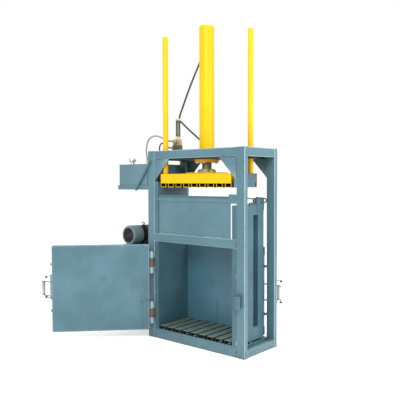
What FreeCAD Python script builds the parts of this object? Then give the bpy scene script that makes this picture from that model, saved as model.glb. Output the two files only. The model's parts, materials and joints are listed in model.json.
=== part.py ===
"""Vertical baler with two doors, a platen on guide rods and a hydraulic power pack.

Millimetres. Origin on the floor at the centre of the frame's footprint, +X to the
right, +Y to the back, +Z up. The front door is modelled open and the back door closed.
"""
import FreeCAD, Part
import math
import os
import re
import Sketcher

from FreeCAD import Placement, Rotation, Vector

doc = FreeCAD.newDocument("Baler")
sheet = doc.addObject("Spreadsheet::Sheet", "dims")

SIZES = {
    # frame of rectangular tube
    "frame_wide": 1300, "frame_deep": 560, "frame_high": 2020,
    "column_wide": 100, "column_deep": 50, "tube_wall": 5, "tube_corner": 8,
    "beam_high": 88, "beam_deep": 50, "top_beam_deep": 30, "side_recess": 5, "mid_beam_low": 1049, "mid_beam_deep": 18,
    "mid_beam_wall": 4, "mid_beam_corner": 6,
    "base_high": 84, "sill_x": 520, "sill_wide": 50, "bearer_high": 20, "bearer_deep": 40,
    "gusset_wide": 216, "gusset_high": 227, "gusset_thick": 10, "gusset_inset": 2,
    "mount_plate_wide": 1040, "mount_plate_thick": 24, "mount_plate_drop": 12, "deck_thick": 6,
    # bale chamber
    "chamber_wide": 994, "front_seat": 284, "back_seat": 195, "seat_gap": 5,
    "sheet_thick": 6, "wall_top": 1462, "left_wall_top": 1690, "flange_out": 278,
    "post_deep": 100, "post_wide": 44, "post_top": 1400, "bracket_deep": 135,
    "bracket_top": 1525, "cover_front": 228, "cover_skin": 4, "cover_low": 110,
    "window_front": -6, "window_back": 80, "window_low": 240, "window_top": 1358,
    "panel_top": 1546, "panel_left": 496, "panel_right": 471, "panel_lip": 12, "panel_inset": 12,
    "panel_rail_low": 60, "panel_rail_top": 22, "panel_rail_out": 7, "bracket_wide": 15,
    "corner_low": 68, "corner_top": 21,
    "hook_dia": 14, "hook_sink": 1, "hook_drop": 50, "hook_bend": 21, "hook_rise": 16,
    "hook_long": 178, "hook_tail": 88, "hook_pitch": 210, "hook_past": 30,
    # floor and platen slats
    "slat_wall": 5, "floor_slat_wide": 80, "floor_slat_high": 43, "floor_slat_pitch": 110,
    "floor_slat_front": 276, "platen_slat_wide": 76, "platen_slat_high": 40,
    "platen_slat_pitch": 109, "platen_low": 1632, "side_gap": 22, "front_gap": 26,
    "channel_high": 100, "channel_flange": 46, "channel_wall": 7, "end_plate": 6, "end_lap": 8,
    "cross_wide": 60, "seat_plate_wide": 330, "seat_plate_deep": 300,
    "seat_plate_thick": 12,
    # hydraulic cylinder and guide rods
    "cylinder_y": -55, "barrel_dia": 155, "bore_dia": 125, "barrel_top": 3297,
    "cap_thick": 48, "cap_chamfer": 12, "flange_dia": 252, "flange_thick": 30,
    "gland_long": 95, "flange_pcd": 215, "flange_bolt": 16, "rod_dia": 100, "rod_fit": 0.08,
    "piston_long": 62, "piston_drop": 12, "rod_foot_dia": 190, "rod_foot_thick": 25, "rod_neck_out": 14, "rod_neck_thick": 12,
    "guide_dia": 57, "guide_top": 3225, "guide_x": 444, "guide_y": 157,
    "guide_fit": 0.1, "sleeve_dia": 72, "port_low": 2088, "port_high": 3273,
    "port_long": 52, "port_turn": 143, "port_saddle": 60,
    # doors, hinges and latches
    "door_low": 97, "door_high": 919, "door_free": 490, "back_rib_right": 494, "hinge_x": 566, "hinge_y": 308,
    "door_gap": 30, "door_skin": 5, "rib_high": 90, "rib_deep": 60, "back_rib_deep": 88,
    "rib_inset": 12, "upright_wide": 60, "door_open": 133.5,
    "barrel_hinge_dia": 48, "barrel_hinge_long": 92, "knuckle_dia": 44, "knuckle_long": 66,
    "hinge_pin_dia": 24, "hinge_head_out": 6, "hinge_head_thick": 8, "hinge_top_z": 819, "hinge_low_z": 274, "hinge_fit": 0.1,
    "hinge_gap": 1, "latch_out": 14, "latch_y": 335, "latch_low": 467, "latch_high": 623,
    "arm_thick": 7, "arm_wide": 24, "arm_long": 132, "arm_tail": 28, "hub_dia": 26,
    "latch_pin_dia": 14, "latch_tube_dia": 36, "latch_swing": 45, "ball_dia": 27,
    "lever_out": 34, "lever_dia": 9,
    "lug_thick": 9, "keeper_x": 75, "keeper_y": 310.5, "keeper_dia": 72, "keeper_wall": 6,
    "keeper_low": 484, "keeper_high": 606,
    # tank and its platform
    "tank_left": 1130, "tank_right": 668, "tank_deep": 544, "tank_top": 1885, "tank_wall": 4,
    "platform_left": 1138, "platform_low": 1603, "angle_leg": 47,
    "angle_thick": 5, "brace_reach": 205, "brace_in": 30, "brace_top": 1930, "brace_rise": 12,
    "brace_wide": 38, "brace_deep": 26, "breather_x": -1035, "breather_y": -150, "breather_dia": 88,
    "breather_high": 42, "neck_dia": 52, "neck_high": 34,
    # motor and pump
    "motor_x": -968, "motor_z": 1087, "motor_front": -280, "cowl_dia": 216, "cowl_long": 140,
    "cowl_skin": 3, "motor_dia": 208, "motor_back": 75, "stator_bore": 124, "rotor_dia": 121,
    "shaft_dia": 28, "shaft_fit": 0.1, "fan_dia": 176, "fan_hub_dia": 50,
    "fan_long": 50, "fan_thick": 4, "bell_dia": 168, "bell_long": 78,
    "pump_wide": 100, "pump_long": 110, "shelf_left": 1090, "shelf_thick": 10,
    "motor_rise": 112, "motor_gap": 40, "shelf_deep": 270, "web_reach": 330, "web_inset": 25,
    "web_thick": 8, "web_nose": 30, "web_root": 170, "foot_out": 100, "foot_in": 55,
    "terminal_in": 70, "terminal_out": 150, "terminal_low": 10, "terminal_top": 96,
    "grille_first": 44, "grille_pitch": 32, "grille_slot": 10, "grille_bar": 12,
    # valve, pipe and fittings
    "valve_x": -418, "valve_y": -56, "manifold_wide": 96, "manifold_deep": 64,
    "manifold_high": 65, "valve_wide": 84, "valve_deep": 56, "valve_high": 65,
    "coil_dia": 44, "coil_long": 30, "adapter_dia": 22, "adapter_long": 30,
    "front_sleeve_x": 8, "front_sleeve_y": -16, "back_sleeve_x": 14, "back_sleeve_y": 17,
    "hose_sleeve_dia": 25, "hose_sleeve_long": 174,
    "elbow_dia": 20, "elbow_stub": 24, "pipe_dia": 34, "pipe_wall": 3, "pipe_bend": 50,
}

FLOOR_SLATS = 9
PLATEN_SLATS = 9
FLANGE_BOLTS = 8
FAN_BLADES = 7
GRILLE_SLOTS = 4
ARC_SHARE = 0.45

for row, (alias, size) in enumerate(SIZES.items(), start=1):
    sheet.set(f"A{row}", alias)
    sheet.set(f"B{row}", str(size))
    sheet.setAlias(f"B{row}", alias)

# Places worked out from the sizes, as formulas in the sheet's words.
PLACES = {
    "half_wide": "frame_wide / 2",
    "half_deep": "frame_deep / 2",
    "column_in_x": "half_wide - column_wide",
    "column_in_y": "half_deep - column_deep",
    "beam_low": "frame_high - beam_high",
    "side_beam_out": "half_wide - side_recess",
    "mount_low": "beam_low - mount_plate_drop",
    "mount_top": "mount_low + mount_plate_thick",
    "deck_low": "frame_high - deck_thick",
    "bearer_top": "base_high + bearer_high",
    "wall_in": "chamber_wide / 2",
    "wall_out": "wall_in + sheet_thick",
    "wall_back": "back_seat - seat_gap",
    "post_out": "wall_out + post_wide",
    "post_front": "wall_back - post_deep",
    "cover_out": "post_out + cover_skin",
    "panel_y": "half_deep - panel_inset",
    "platen_half": "wall_in - side_gap",
    "platen_front": "front_seat - front_gap",
    "platen_back": "back_seat - front_gap",
    "channel_low": "platen_low + platen_slat_high",
    "platen_top": "channel_low + channel_high",
    "seat_top": "platen_top + seat_plate_thick",
    "flange_low": "mount_low - flange_thick",
    "cap_low": "barrel_top - cap_thick",
    "piston_top": "cap_low - piston_drop",
    "door_left": "hinge_x - door_gap",
    "door_top": "door_low + door_high",
    "rib_left": "door_left - rib_inset",
    "rib_right": "door_free - rib_inset",
    "latch_x": "door_free + latch_out",
    "keeper_mid": "latch_x + keeper_x",
    "shelf_top": "motor_z - motor_rise",
    "cowl_back": "motor_front + cowl_long",
    "fan_back": "cowl_back - motor_gap",
    "bell_back": "motor_back + bell_long",
    "pump_back": "bell_back + pump_long",
    "valve_low": "frame_high + manifold_high",
    "valve_top": "valve_low + valve_high",
    "sleeve_low": "valve_top + adapter_long",
    "sleeve_top": "sleeve_low + hose_sleeve_long",
    "pipe_x": "motor_x + pump_wide / 2 + pipe_bend",
    "pump_mid": "bell_back + pump_long / 2",
}

WORD = re.compile(r"[a-z][a-z_]*")


def expr(text):
    """Write a formula in the sheet's words as a FreeCAD expression."""
    def swap(match):
        word = match.group()
        if word in SIZES:
            return "dims." + word
        if word in PLACES:
            return "(" + expr(PLACES[word]) + ")"
        return word
    return WORD.sub(swap, str(text))


def bind(obj, prop, text):
    """Bind one property of an object to a formula."""
    obj.setExpression(prop, expr(text))


meter = doc.addObject("App::FeaturePython", "meter")
meter.addProperty("App::PropertyFloat", "reading")


def value(text):
    """Return a formula's number, for the few shapes that code has to work out."""
    bind(meter, "reading", text)
    doc.recompute([sheet, meter])
    return meter.reading


nodes = []


def node(obj, label):
    """Give a finished piece its name, which no inner step keeps, and list it for writing."""
    for other in doc.getObjectsByLabel(label):
        other.Label = label + "_step"
    obj.Label = label
    nodes.append(obj)
    return obj


def at(obj, x="0", y="0", z="0"):
    """Bind an object's position."""
    bind(obj, "Placement.Base.x", x)
    bind(obj, "Placement.Base.y", y)
    bind(obj, "Placement.Base.z", z)
    return obj


def box(name, x_span, y_span, z_span):
    """Make a block between pairs of formulas along each axis."""
    obj = doc.addObject("Part::Box", name)
    bind(obj, "Length", f"({x_span[1]}) - ({x_span[0]})")
    bind(obj, "Width", f"({y_span[1]}) - ({y_span[0]})")
    bind(obj, "Height", f"({z_span[1]}) - ({z_span[0]})")
    return at(obj, x_span[0], y_span[0], z_span[0])


def rod(name, diameter, span, x="0", y="0", z="0", axis="z"):
    """Make a cylinder of a diameter along one axis, from span[0] to span[1]."""
    obj = doc.addObject("Part::Cylinder", name)
    turns = {"z": Rotation(), "x": Rotation(Vector(0, 1, 0), 90), "y": Rotation(Vector(1, 0, 0), -90)}
    obj.Placement = Placement(Vector(), turns[axis])
    bind(obj, "Radius", f"({diameter}) / 2")
    bind(obj, "Height", f"({span[1]}) - ({span[0]})")
    place = {"x": x, "y": y, "z": z}
    place[axis] = span[0]
    return at(obj, place["x"], place["y"], place["z"])


def cut(name, base, *tools):
    """Subtract tools from a base."""
    result = base
    for index, tool in enumerate(tools):
        step = doc.addObject("Part::Cut", f"{name}_cut{index}")
        step.Base = result
        step.Tool = tool
        result = step
    return result


def fuse(name, *shapes):
    """Join shapes into one solid."""
    obj = doc.addObject("Part::MultiFuse", name + "_joined")
    obj.Shapes = list(shapes)
    obj.Refine = True
    return obj


def group(name, *shapes):
    """Keep several separate solids together in one piece."""
    obj = doc.addObject("Part::Compound", name + "_set")
    obj.Links = list(shapes)
    return obj


def copy_turned(name, source, angle, x="0", y="0", z="0"):
    """Turn a shape about +Z by a bound angle about the point x, y."""
    obj = doc.addObject("Part::Compound", name + "_turned")
    obj.Links = [source]
    obj.Placement = Placement(Vector(), Rotation(Vector(0, 0, 1), 10))
    bind(obj, "Placement.Rotation.Angle", angle)
    at(obj, f"({x}) - ({x}) * cos({angle}) + ({y}) * sin({angle})",
       f"({y}) - ({x}) * sin({angle}) - ({y}) * cos({angle})", z)
    return obj


def rounded_rectangle(sketch, prefix, wide, high, corner):
    """Draw a centred rectangle with round corners, its sizes bound to formulas."""
    first = sketch.GeometryCount
    wide_now = value(wide)
    high_now = value(high)
    corner_now = value(corner)
    half_w = wide_now / 2
    half_h = high_now / 2
    in_w = half_w - corner_now
    in_h = half_h - corner_now
    corners = [(in_w, in_h, 0), (-in_w, in_h, 90), (-in_w, -in_h, 180), (in_w, -in_h, 270)]
    lines = [((in_w, half_h), (-in_w, half_h)), ((-half_w, in_h), (-half_w, -in_h)),
             ((-in_w, -half_h), (in_w, -half_h)), ((half_w, -in_h), (half_w, in_h))]
    for (mid_x, mid_y, start), (tail, head) in zip(corners, lines):
        circle = Part.Circle(Vector(mid_x, mid_y, 0), Vector(0, 0, 1), corner_now)
        arc = Part.ArcOfCircle(circle, math.radians(start), math.radians(start + 90))
        sketch.addGeometry(arc)
        sketch.addGeometry(Part.LineSegment(Vector(*tail, 0), Vector(*head, 0)))
    arcs = [first, first + 2, first + 4, first + 6]
    edges = [first + 1, first + 3, first + 5, first + 7]
    add = sketch.addConstraint
    for index in range(4):
        add(Sketcher.Constraint("Tangent", arcs[index], 2, edges[index], 1))
        add(Sketcher.Constraint("Tangent", edges[index], 2, arcs[(index + 1) % 4], 1))
    for index in (0, 2):
        add(Sketcher.Constraint("Horizontal", edges[index]))
    for index in (1, 2, 3):
        add(Sketcher.Constraint("Equal", arcs[0], arcs[index]))
    radius = add(Sketcher.Constraint("Radius", arcs[0], corner_now))
    across = add(Sketcher.Constraint("DistanceX", edges[1], 1, edges[3], 2, wide_now))
    upright = add(Sketcher.Constraint("DistanceY", edges[2], 2, edges[0], 1, high_now))
    add(Sketcher.Constraint("Symmetric", arcs[0], 3, arcs[2], 3, -1, 1))
    for index, name, text in ((radius, "corner", corner), (across, "wide", wide), (upright, "high", high)):
        sketch.renameConstraint(index, f"{prefix}_{name}")
        bind(sketch, f"Constraints.{prefix}_{name}", text)


def hollow_bar(name, wide, high, span, x="0", y="0", z="0", axis="z",
               wall="tube_wall", corner="tube_corner"):
    """Pad a rectangular tube with round corners along one axis.

    Along z its section is wide in X and high in Y, along x it is wide in Y and high in Z,
    and along y it is wide in X and high in Z.
    """
    body = doc.addObject("PartDesign::Body", name)
    plane = [item for item in body.Origin.OriginFeatures if item.Role == "XY_Plane"][0]
    sketch = body.newObject("Sketcher::SketchObject", name + "_section")
    sketch.AttachmentSupport = [(plane, "")]
    sketch.MapMode = "FlatFace"
    rounded_rectangle(sketch, "outer", wide, high, corner)
    rounded_rectangle(sketch, "inner", f"({wide}) - 2 * {wall}", f"({high}) - 2 * {wall}",
                      f"{corner} - {wall}")
    pad = body.newObject("PartDesign::Pad", name + "_length")
    pad.Profile = sketch
    bind(pad, "Length", f"({span[1]}) - ({span[0]})")
    turns = {"z": Rotation(), "x": Rotation(Vector(0, 1, 0), Vector(0, 0, 1), Vector(1, 0, 0), "ZYX"),
             "y": Rotation(Vector(-1, 0, 0), Vector(0, 0, 1), Vector(0, 1, 0), "ZYX")}
    body.Placement = Placement(Vector(), turns[axis])
    place = {"x": x, "y": y, "z": z}
    place[axis] = span[0]
    return at(body, place["x"], place["y"], place["z"])


def prism(name, points, low, high, axis="z"):
    """Extrude a polygon of number pairs from low to high along one axis.

    Along z the pairs are X and Y, along y they are X and Z, and along x they are Y and Z.
    """
    lift = {"z": lambda a, b, c: Vector(a, b, c), "y": lambda a, b, c: Vector(a, c, b),
            "x": lambda a, b, c: Vector(c, a, b)}[axis]
    corners = [lift(a, b, low) for a, b in points]
    face = Part.Face(Part.makePolygon(corners + corners[:1]))
    obj = doc.addObject("Part::Feature", name)
    obj.Shape = face.extrude(lift(0, 0, high - low))
    return obj


def span_of(sign, near, far):
    """Return a span from near to far on the side that the sign gives, low end first."""
    return (near, far) if sign > 0 else (f"-({far})", f"-({near})")


# ---------------------------------------------------------------- frame

def build_columns():
    """Four corner columns of upright rectangular tube."""
    for word_y, sign_y in (("front", -1), ("back", 1)):
        for word_x, sign_x in (("left", -1), ("right", 1)):
            name = f"column_{word_y}_{word_x}"
            bar = hollow_bar(name, "column_wide", "column_deep", ("0", "frame_high"),
                             x=f"{sign_x} * (half_wide - column_wide / 2)",
                             y=f"{sign_y} * (half_deep - column_deep / 2)")
            node(bar, name)


def build_beams():
    """Top ring, middle beam, base ring with its sills and floor bearers, and corner gussets."""
    across = ("-column_in_x", "column_in_x")
    along = ("-column_in_y", "column_in_y")
    beam_y = "(half_deep - beam_deep / 2)"
    top = []
    base = []
    for word, sign in (("front", -1), ("back", 1)):
        top.append(hollow_bar(f"top_{word}", "top_beam_deep", "beam_high", across,
                              y=f"{sign} * (half_deep - top_beam_deep / 2)",
                              z="frame_high - beam_high / 2", axis="x"))
        base.append(hollow_bar(f"base_{word}", "beam_deep", "base_high", across, y=f"{sign} * {beam_y}",
                               z="base_high / 2", axis="x"))
    for word, sign in (("left", -1), ("right", 1)):
        side_x = f"{sign} * (side_beam_out - beam_deep / 2)"
        top.append(hollow_bar(f"top_{word}", "beam_deep", "beam_high", along, x=side_x,
                              z="frame_high - beam_high / 2", axis="y"))
        base.append(hollow_bar(f"base_{word}", "beam_deep", "base_high", along, x=side_x,
                               z="base_high / 2", axis="y"))
    for word, place in (("left", "-sill_x"), ("mid", "0"), ("right", "sill_x")):
        base.append(hollow_bar(f"sill_{word}", "sill_wide", "base_high", along, x=place,
                               z="base_high / 2", axis="y"))
    for word, place in (("front", "-(half_deep - bearer_deep / 2 - 6)"), ("mid", "-bearer_deep"),
                        ("back", "wall_back - bearer_deep / 2")):
        base.append(box(f"bearer_{word}", ("-post_out", "post_out"),
                        (f"{place} - bearer_deep / 2", f"{place} + bearer_deep / 2"),
                        ("base_high", "bearer_top")))
    node(group("top_beams", *top), "top_beams")
    node(group("base_beams", *base), "base_beams")
    mid = hollow_bar("mid_beam", "mid_beam_deep", "beam_high", across, y="-(half_deep - mid_beam_deep / 2)",
                     z="mid_beam_low + beam_high / 2", axis="x", wall="mid_beam_wall",
                     corner="mid_beam_corner")
    node(mid, "mid_beam")


def build_gussets():
    """A triangular plate in each top corner of the front and back openings."""
    corner_x = value("column_in_x")
    corner_z = value("beam_low")
    wide = value("gusset_wide")
    high = value("gusset_high")
    outside = value("half_deep - gusset_inset")
    inside = value("half_deep - gusset_inset - gusset_thick")
    plates = []
    for sign_y in (-1, 1):
        low, top = sorted((sign_y * outside, sign_y * inside))
        for sign_x in (-1, 1):
            points = [(sign_x * corner_x, corner_z), (sign_x * (corner_x - wide), corner_z),
                      (sign_x * corner_x, corner_z - high)]
            plates.append(prism(f"gusset_{sign_x}_{sign_y}".replace("-", "n"), points, low, top, "y"))
    node(group("corner_gussets", *plates), "corner_gussets")


def build_top_plates():
    """Mounting plate under the cylinder, deck plate on top, and the two guide sleeves."""
    beam_in = ("-(half_deep - top_beam_deep)", "half_deep - top_beam_deep")
    mount = box("mount_blank", ("-mount_plate_wide / 2", "mount_plate_wide / 2"), beam_in,
                ("mount_low", "mount_top"))
    deck = fuse("deck_blank",
                box("deck_long", ("-(side_beam_out - beam_deep)", "side_beam_out - beam_deep"),
                    ("-column_in_y", "column_in_y"), ("deck_low", "frame_high")),
                box("deck_wide", ("-column_in_x", "column_in_x"), beam_in, ("deck_low", "frame_high")))
    barrel_hole = rod("barrel_hole", "barrel_dia + 1", ("mount_low - 10", "frame_high + 10"),
                      y="cylinder_y")
    sleeve_holes = []
    sleeves = []
    for word, sign in (("front", -1), ("back", 1)):
        place = {"x": f"{sign} * guide_x", "y": f"cylinder_y + {sign} * guide_y"}
        span = ("mount_low", "frame_high + 4")
        sleeve_holes.append(rod(f"sleeve_hole_{word}", "sleeve_dia", ("mount_low - 10", "frame_high + 10"),
                                **place))
        outer = rod(f"sleeve_{word}", "sleeve_dia", span, **place)
        bore = rod(f"sleeve_bore_{word}", "guide_dia + 2 * guide_fit", (f"{span[0]} - 5", f"{span[1]} + 5"),
                   **place)
        sleeves.append(cut(f"sleeve_{word}", outer, bore))
    node(cut("mount_plate", mount, barrel_hole, *sleeve_holes), "cylinder_mount_plate")
    node(cut("deck_plate", deck, barrel_hole, *sleeve_holes), "top_deck_plate")
    node(group("guide_sleeves", *sleeves), "guide_sleeves")


# ---------------------------------------------------------------- chamber

def inverted_channel(name, x_mid, wide, y_span, z_span):
    """A channel laid with its web on top, open below and at both ends."""
    body = box(name, (f"{x_mid} - {wide} / 2", f"{x_mid} + {wide} / 2"), y_span, z_span)
    hollow = box(name + "_hollow", (f"{x_mid} - {wide} / 2 + slat_wall", f"{x_mid} + {wide} / 2 - slat_wall"),
                 (f"{y_span[0]} - 5", f"{y_span[1]} + 5"), (f"{z_span[0]} - 5", f"{z_span[1]} - slat_wall"))
    return cut(name, body, hollow)


def build_floor():
    """Nine channels side by side from front to back, with strap gaps between them."""
    slats = []
    for index in range(FLOOR_SLATS):
        place = f"{index - (FLOOR_SLATS - 1) / 2} * floor_slat_pitch"
        slats.append(inverted_channel(f"floor_slat{index + 1}", place, "floor_slat_wide",
                                      ("-floor_slat_front", "wall_back"),
                                      ("bearer_top", "bearer_top + floor_slat_high")))
    node(group("floor_slats", *slats), "floor_slats")


def build_wall(word, sign):
    """A side wall sheet with its front flange, and the frame of covers and post behind it."""
    sheet_top = "left_wall_top" if sign < 0 else "wall_top"
    sheet_part = box(f"wall_sheet_{word}", span_of(sign, "wall_in", "wall_out"),
                     ("-flange_out", "wall_back"), ("bearer_top", sheet_top))
    flange = box(f"wall_flange_{word}", span_of(sign, "wall_in", "column_in_x"),
                 ("-flange_out", "-flange_out + sheet_thick"), ("bearer_top", sheet_top))
    notch = box(f"wall_notch_{word}", span_of(sign, "wall_in - 5", "column_in_x + 5"),
                ("-half_deep - 5", "-half_deep + mid_beam_deep"),
                ("mid_beam_low", "mid_beam_low + beam_high"))
    node(cut(f"{word}_wall", fuse(f"{word}_wall", sheet_part, flange), notch), f"{word}_wall")

    shell = box(f"cover_{word}", span_of(sign, "wall_out", "cover_out"),
                ("-cover_front", "post_front"), ("cover_low", "wall_top"))
    hollow = box(f"cover_hollow_{word}", span_of(sign, "wall_out - 5", "post_out"),
                 ("-cover_front + cover_skin", "post_front - cover_skin"),
                 ("cover_low + cover_skin", "wall_top - cover_skin"))
    frame = box(f"window_frame_{word}", span_of(sign, "wall_out", "cover_out"),
                ("window_front - cover_skin", "window_back + cover_skin"),
                ("window_low - cover_skin", "window_top + cover_skin"))
    window = box(f"window_{word}", span_of(sign, "wall_out - 5", "cover_out + 5"),
                 ("window_front", "window_back"), ("window_low", "window_top"))
    cover = cut(f"cover_windowed_{word}", fuse(f"cover_framed_{word}", cut(f"cover_{word}", shell, hollow), frame),
                window)
    post = hollow_bar(f"post_{word}", "post_wide", "post_deep", ("bearer_top", "post_top"),
                      x=f"{sign} * (wall_out + post_wide / 2)", y="wall_back - post_deep / 2")
    parts = [cover, post]
    if sign > 0:
        parts.append(box("hook_bracket", ("wall_out", "cover_out"),
                         ("wall_back - bracket_deep", "wall_back"), ("post_top", "bracket_top")))
        parts[0] = cut("cover_notched", cover, box("bracket_room", ("wall_out - 5", "cover_out + 5"),
                                                   ("wall_back - bracket_deep - 4", "wall_back"),
                                                   ("post_top", "bracket_top")))
    node(group(f"{word}_wall_frame", *parts), f"{word}_wall_frame")


def rounded_path(points):
    """Join straight runs by tangent arcs as large as the runs allow; return the wire and radii."""
    corners = [Vector(*point) for point in points]
    runs = [(after - before).Length for before, after in zip(corners, corners[1:])]
    edges = []
    radii = []
    start = corners[0]
    for index in range(1, len(corners) - 1):
        before = (corners[index] - corners[index - 1]).normalize()
        after = (corners[index + 1] - corners[index]).normalize()
        half = before.getAngle(after) / 2
        trim = ARC_SHARE * min(runs[index - 1], runs[index])
        radius = trim / math.tan(half)
        arc_in = corners[index] - before * trim
        arc_out = corners[index] + after * trim
        centre = corners[index] + (after - before).normalize() * (radius / math.cos(half))
        middle = centre + (corners[index] - centre).normalize() * radius
        edges.append(Part.LineSegment(start, arc_in).toShape())
        edges.append(Part.Arc(arc_in, middle, arc_out).toShape())
        radii.append(radius)
        start = arc_out
    edges.append(Part.LineSegment(start, corners[-1]).toShape())
    return Part.Wire(edges), radii


def swept(wire, radius):
    """Sweep a circle along a wire whose edges are tangent."""
    first = wire.OrderedEdges[0]
    ring = Part.makeCircle(radius, first.firstVertex(True).Point, first.tangentAt(first.FirstParameter))
    return wire.makePipeShell([Part.Wire(ring)], True, False, 2)


def strap_hook(name, back, tail):
    """A round bar bent into a narrow U, its lower arm welded flat to the wall's bracket or bar."""
    radius = value("hook_dia / 2")
    x = value("cover_out + hook_dia / 2 - hook_sink")
    low = value("bracket_top - hook_drop")
    bend = value("hook_bend")
    rise = value("hook_rise")
    points = [(x, back - tail, low), (x, back, low + bend / 3), (x, back, low + bend * 2),
              (x, back - value("hook_long"), low + bend * 2 + rise)]
    obj = doc.addObject("Part::Feature", name)
    obj.Shape = swept(rounded_path(points)[0], radius)
    return obj


def build_hooks():
    """Two bent bars that hold the strapping at the top of the right wall, joined by a level bar."""
    back = value("wall_back + hook_past")
    pitch = value("hook_pitch")
    rear = strap_hook("hook_rear", back, value("hook_tail"))
    front = strap_hook("hook_front", back - pitch, value("hook_tail"))
    bar_y = ("wall_back - bracket_deep - 40 - hook_pitch / 2", "wall_back - bracket_deep + 12")
    bar = rod("hook_bar", "hook_dia", bar_y, x="cover_out + hook_dia / 2 - hook_sink",
              z="bracket_top - hook_drop - hook_dia + 1", axis="y")
    room = box("hook_room", ("cover_out - 20", "cover_out"), ("wall_back - 400", "wall_back"),
               ("bracket_top - 120", "bracket_top"))
    node(group("strap_hooks", cut("hook_rear", rear, room),
               cut("hook_front", fuse("hook_front", front, bar), room)), "strap_hooks")


def build_panel():
    """Fixed upper front panel with its top lip and rail, and the bracket at its right corner."""
    beam_top = "mid_beam_low + beam_high"
    out = "-panel_y - panel_lip + 2"
    skin = box("panel_skin", ("-panel_left", "panel_right"), ("-panel_y", "-panel_y + sheet_thick"),
               (beam_top, "panel_top"))
    lip = box("panel_lip_top", ("-panel_left", "panel_right"), (out, "-panel_y + sheet_thick"),
              ("panel_top - sheet_thick", "panel_top"))
    rail = box("panel_rail", ("-panel_left", "panel_right - bracket_wide"),
               ("-panel_y - panel_rail_out", "-panel_y"),
               ("panel_top - panel_rail_low", "panel_top - panel_rail_top"))
    bracket = box("panel_bracket", ("panel_right - bracket_wide", "column_in_x"), (out, "-panel_y"),
                  ("panel_top - corner_low", "panel_top + corner_top"))
    node(fuse("upper_front_panel", skin, lip, rail, bracket), "upper_front_panel")


# ---------------------------------------------------------------- doors

def side_span(sign, near, far):
    """Return a Y span from near to far on the front (-1) or back (1) side."""
    return span_of(sign, near, far)


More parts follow.
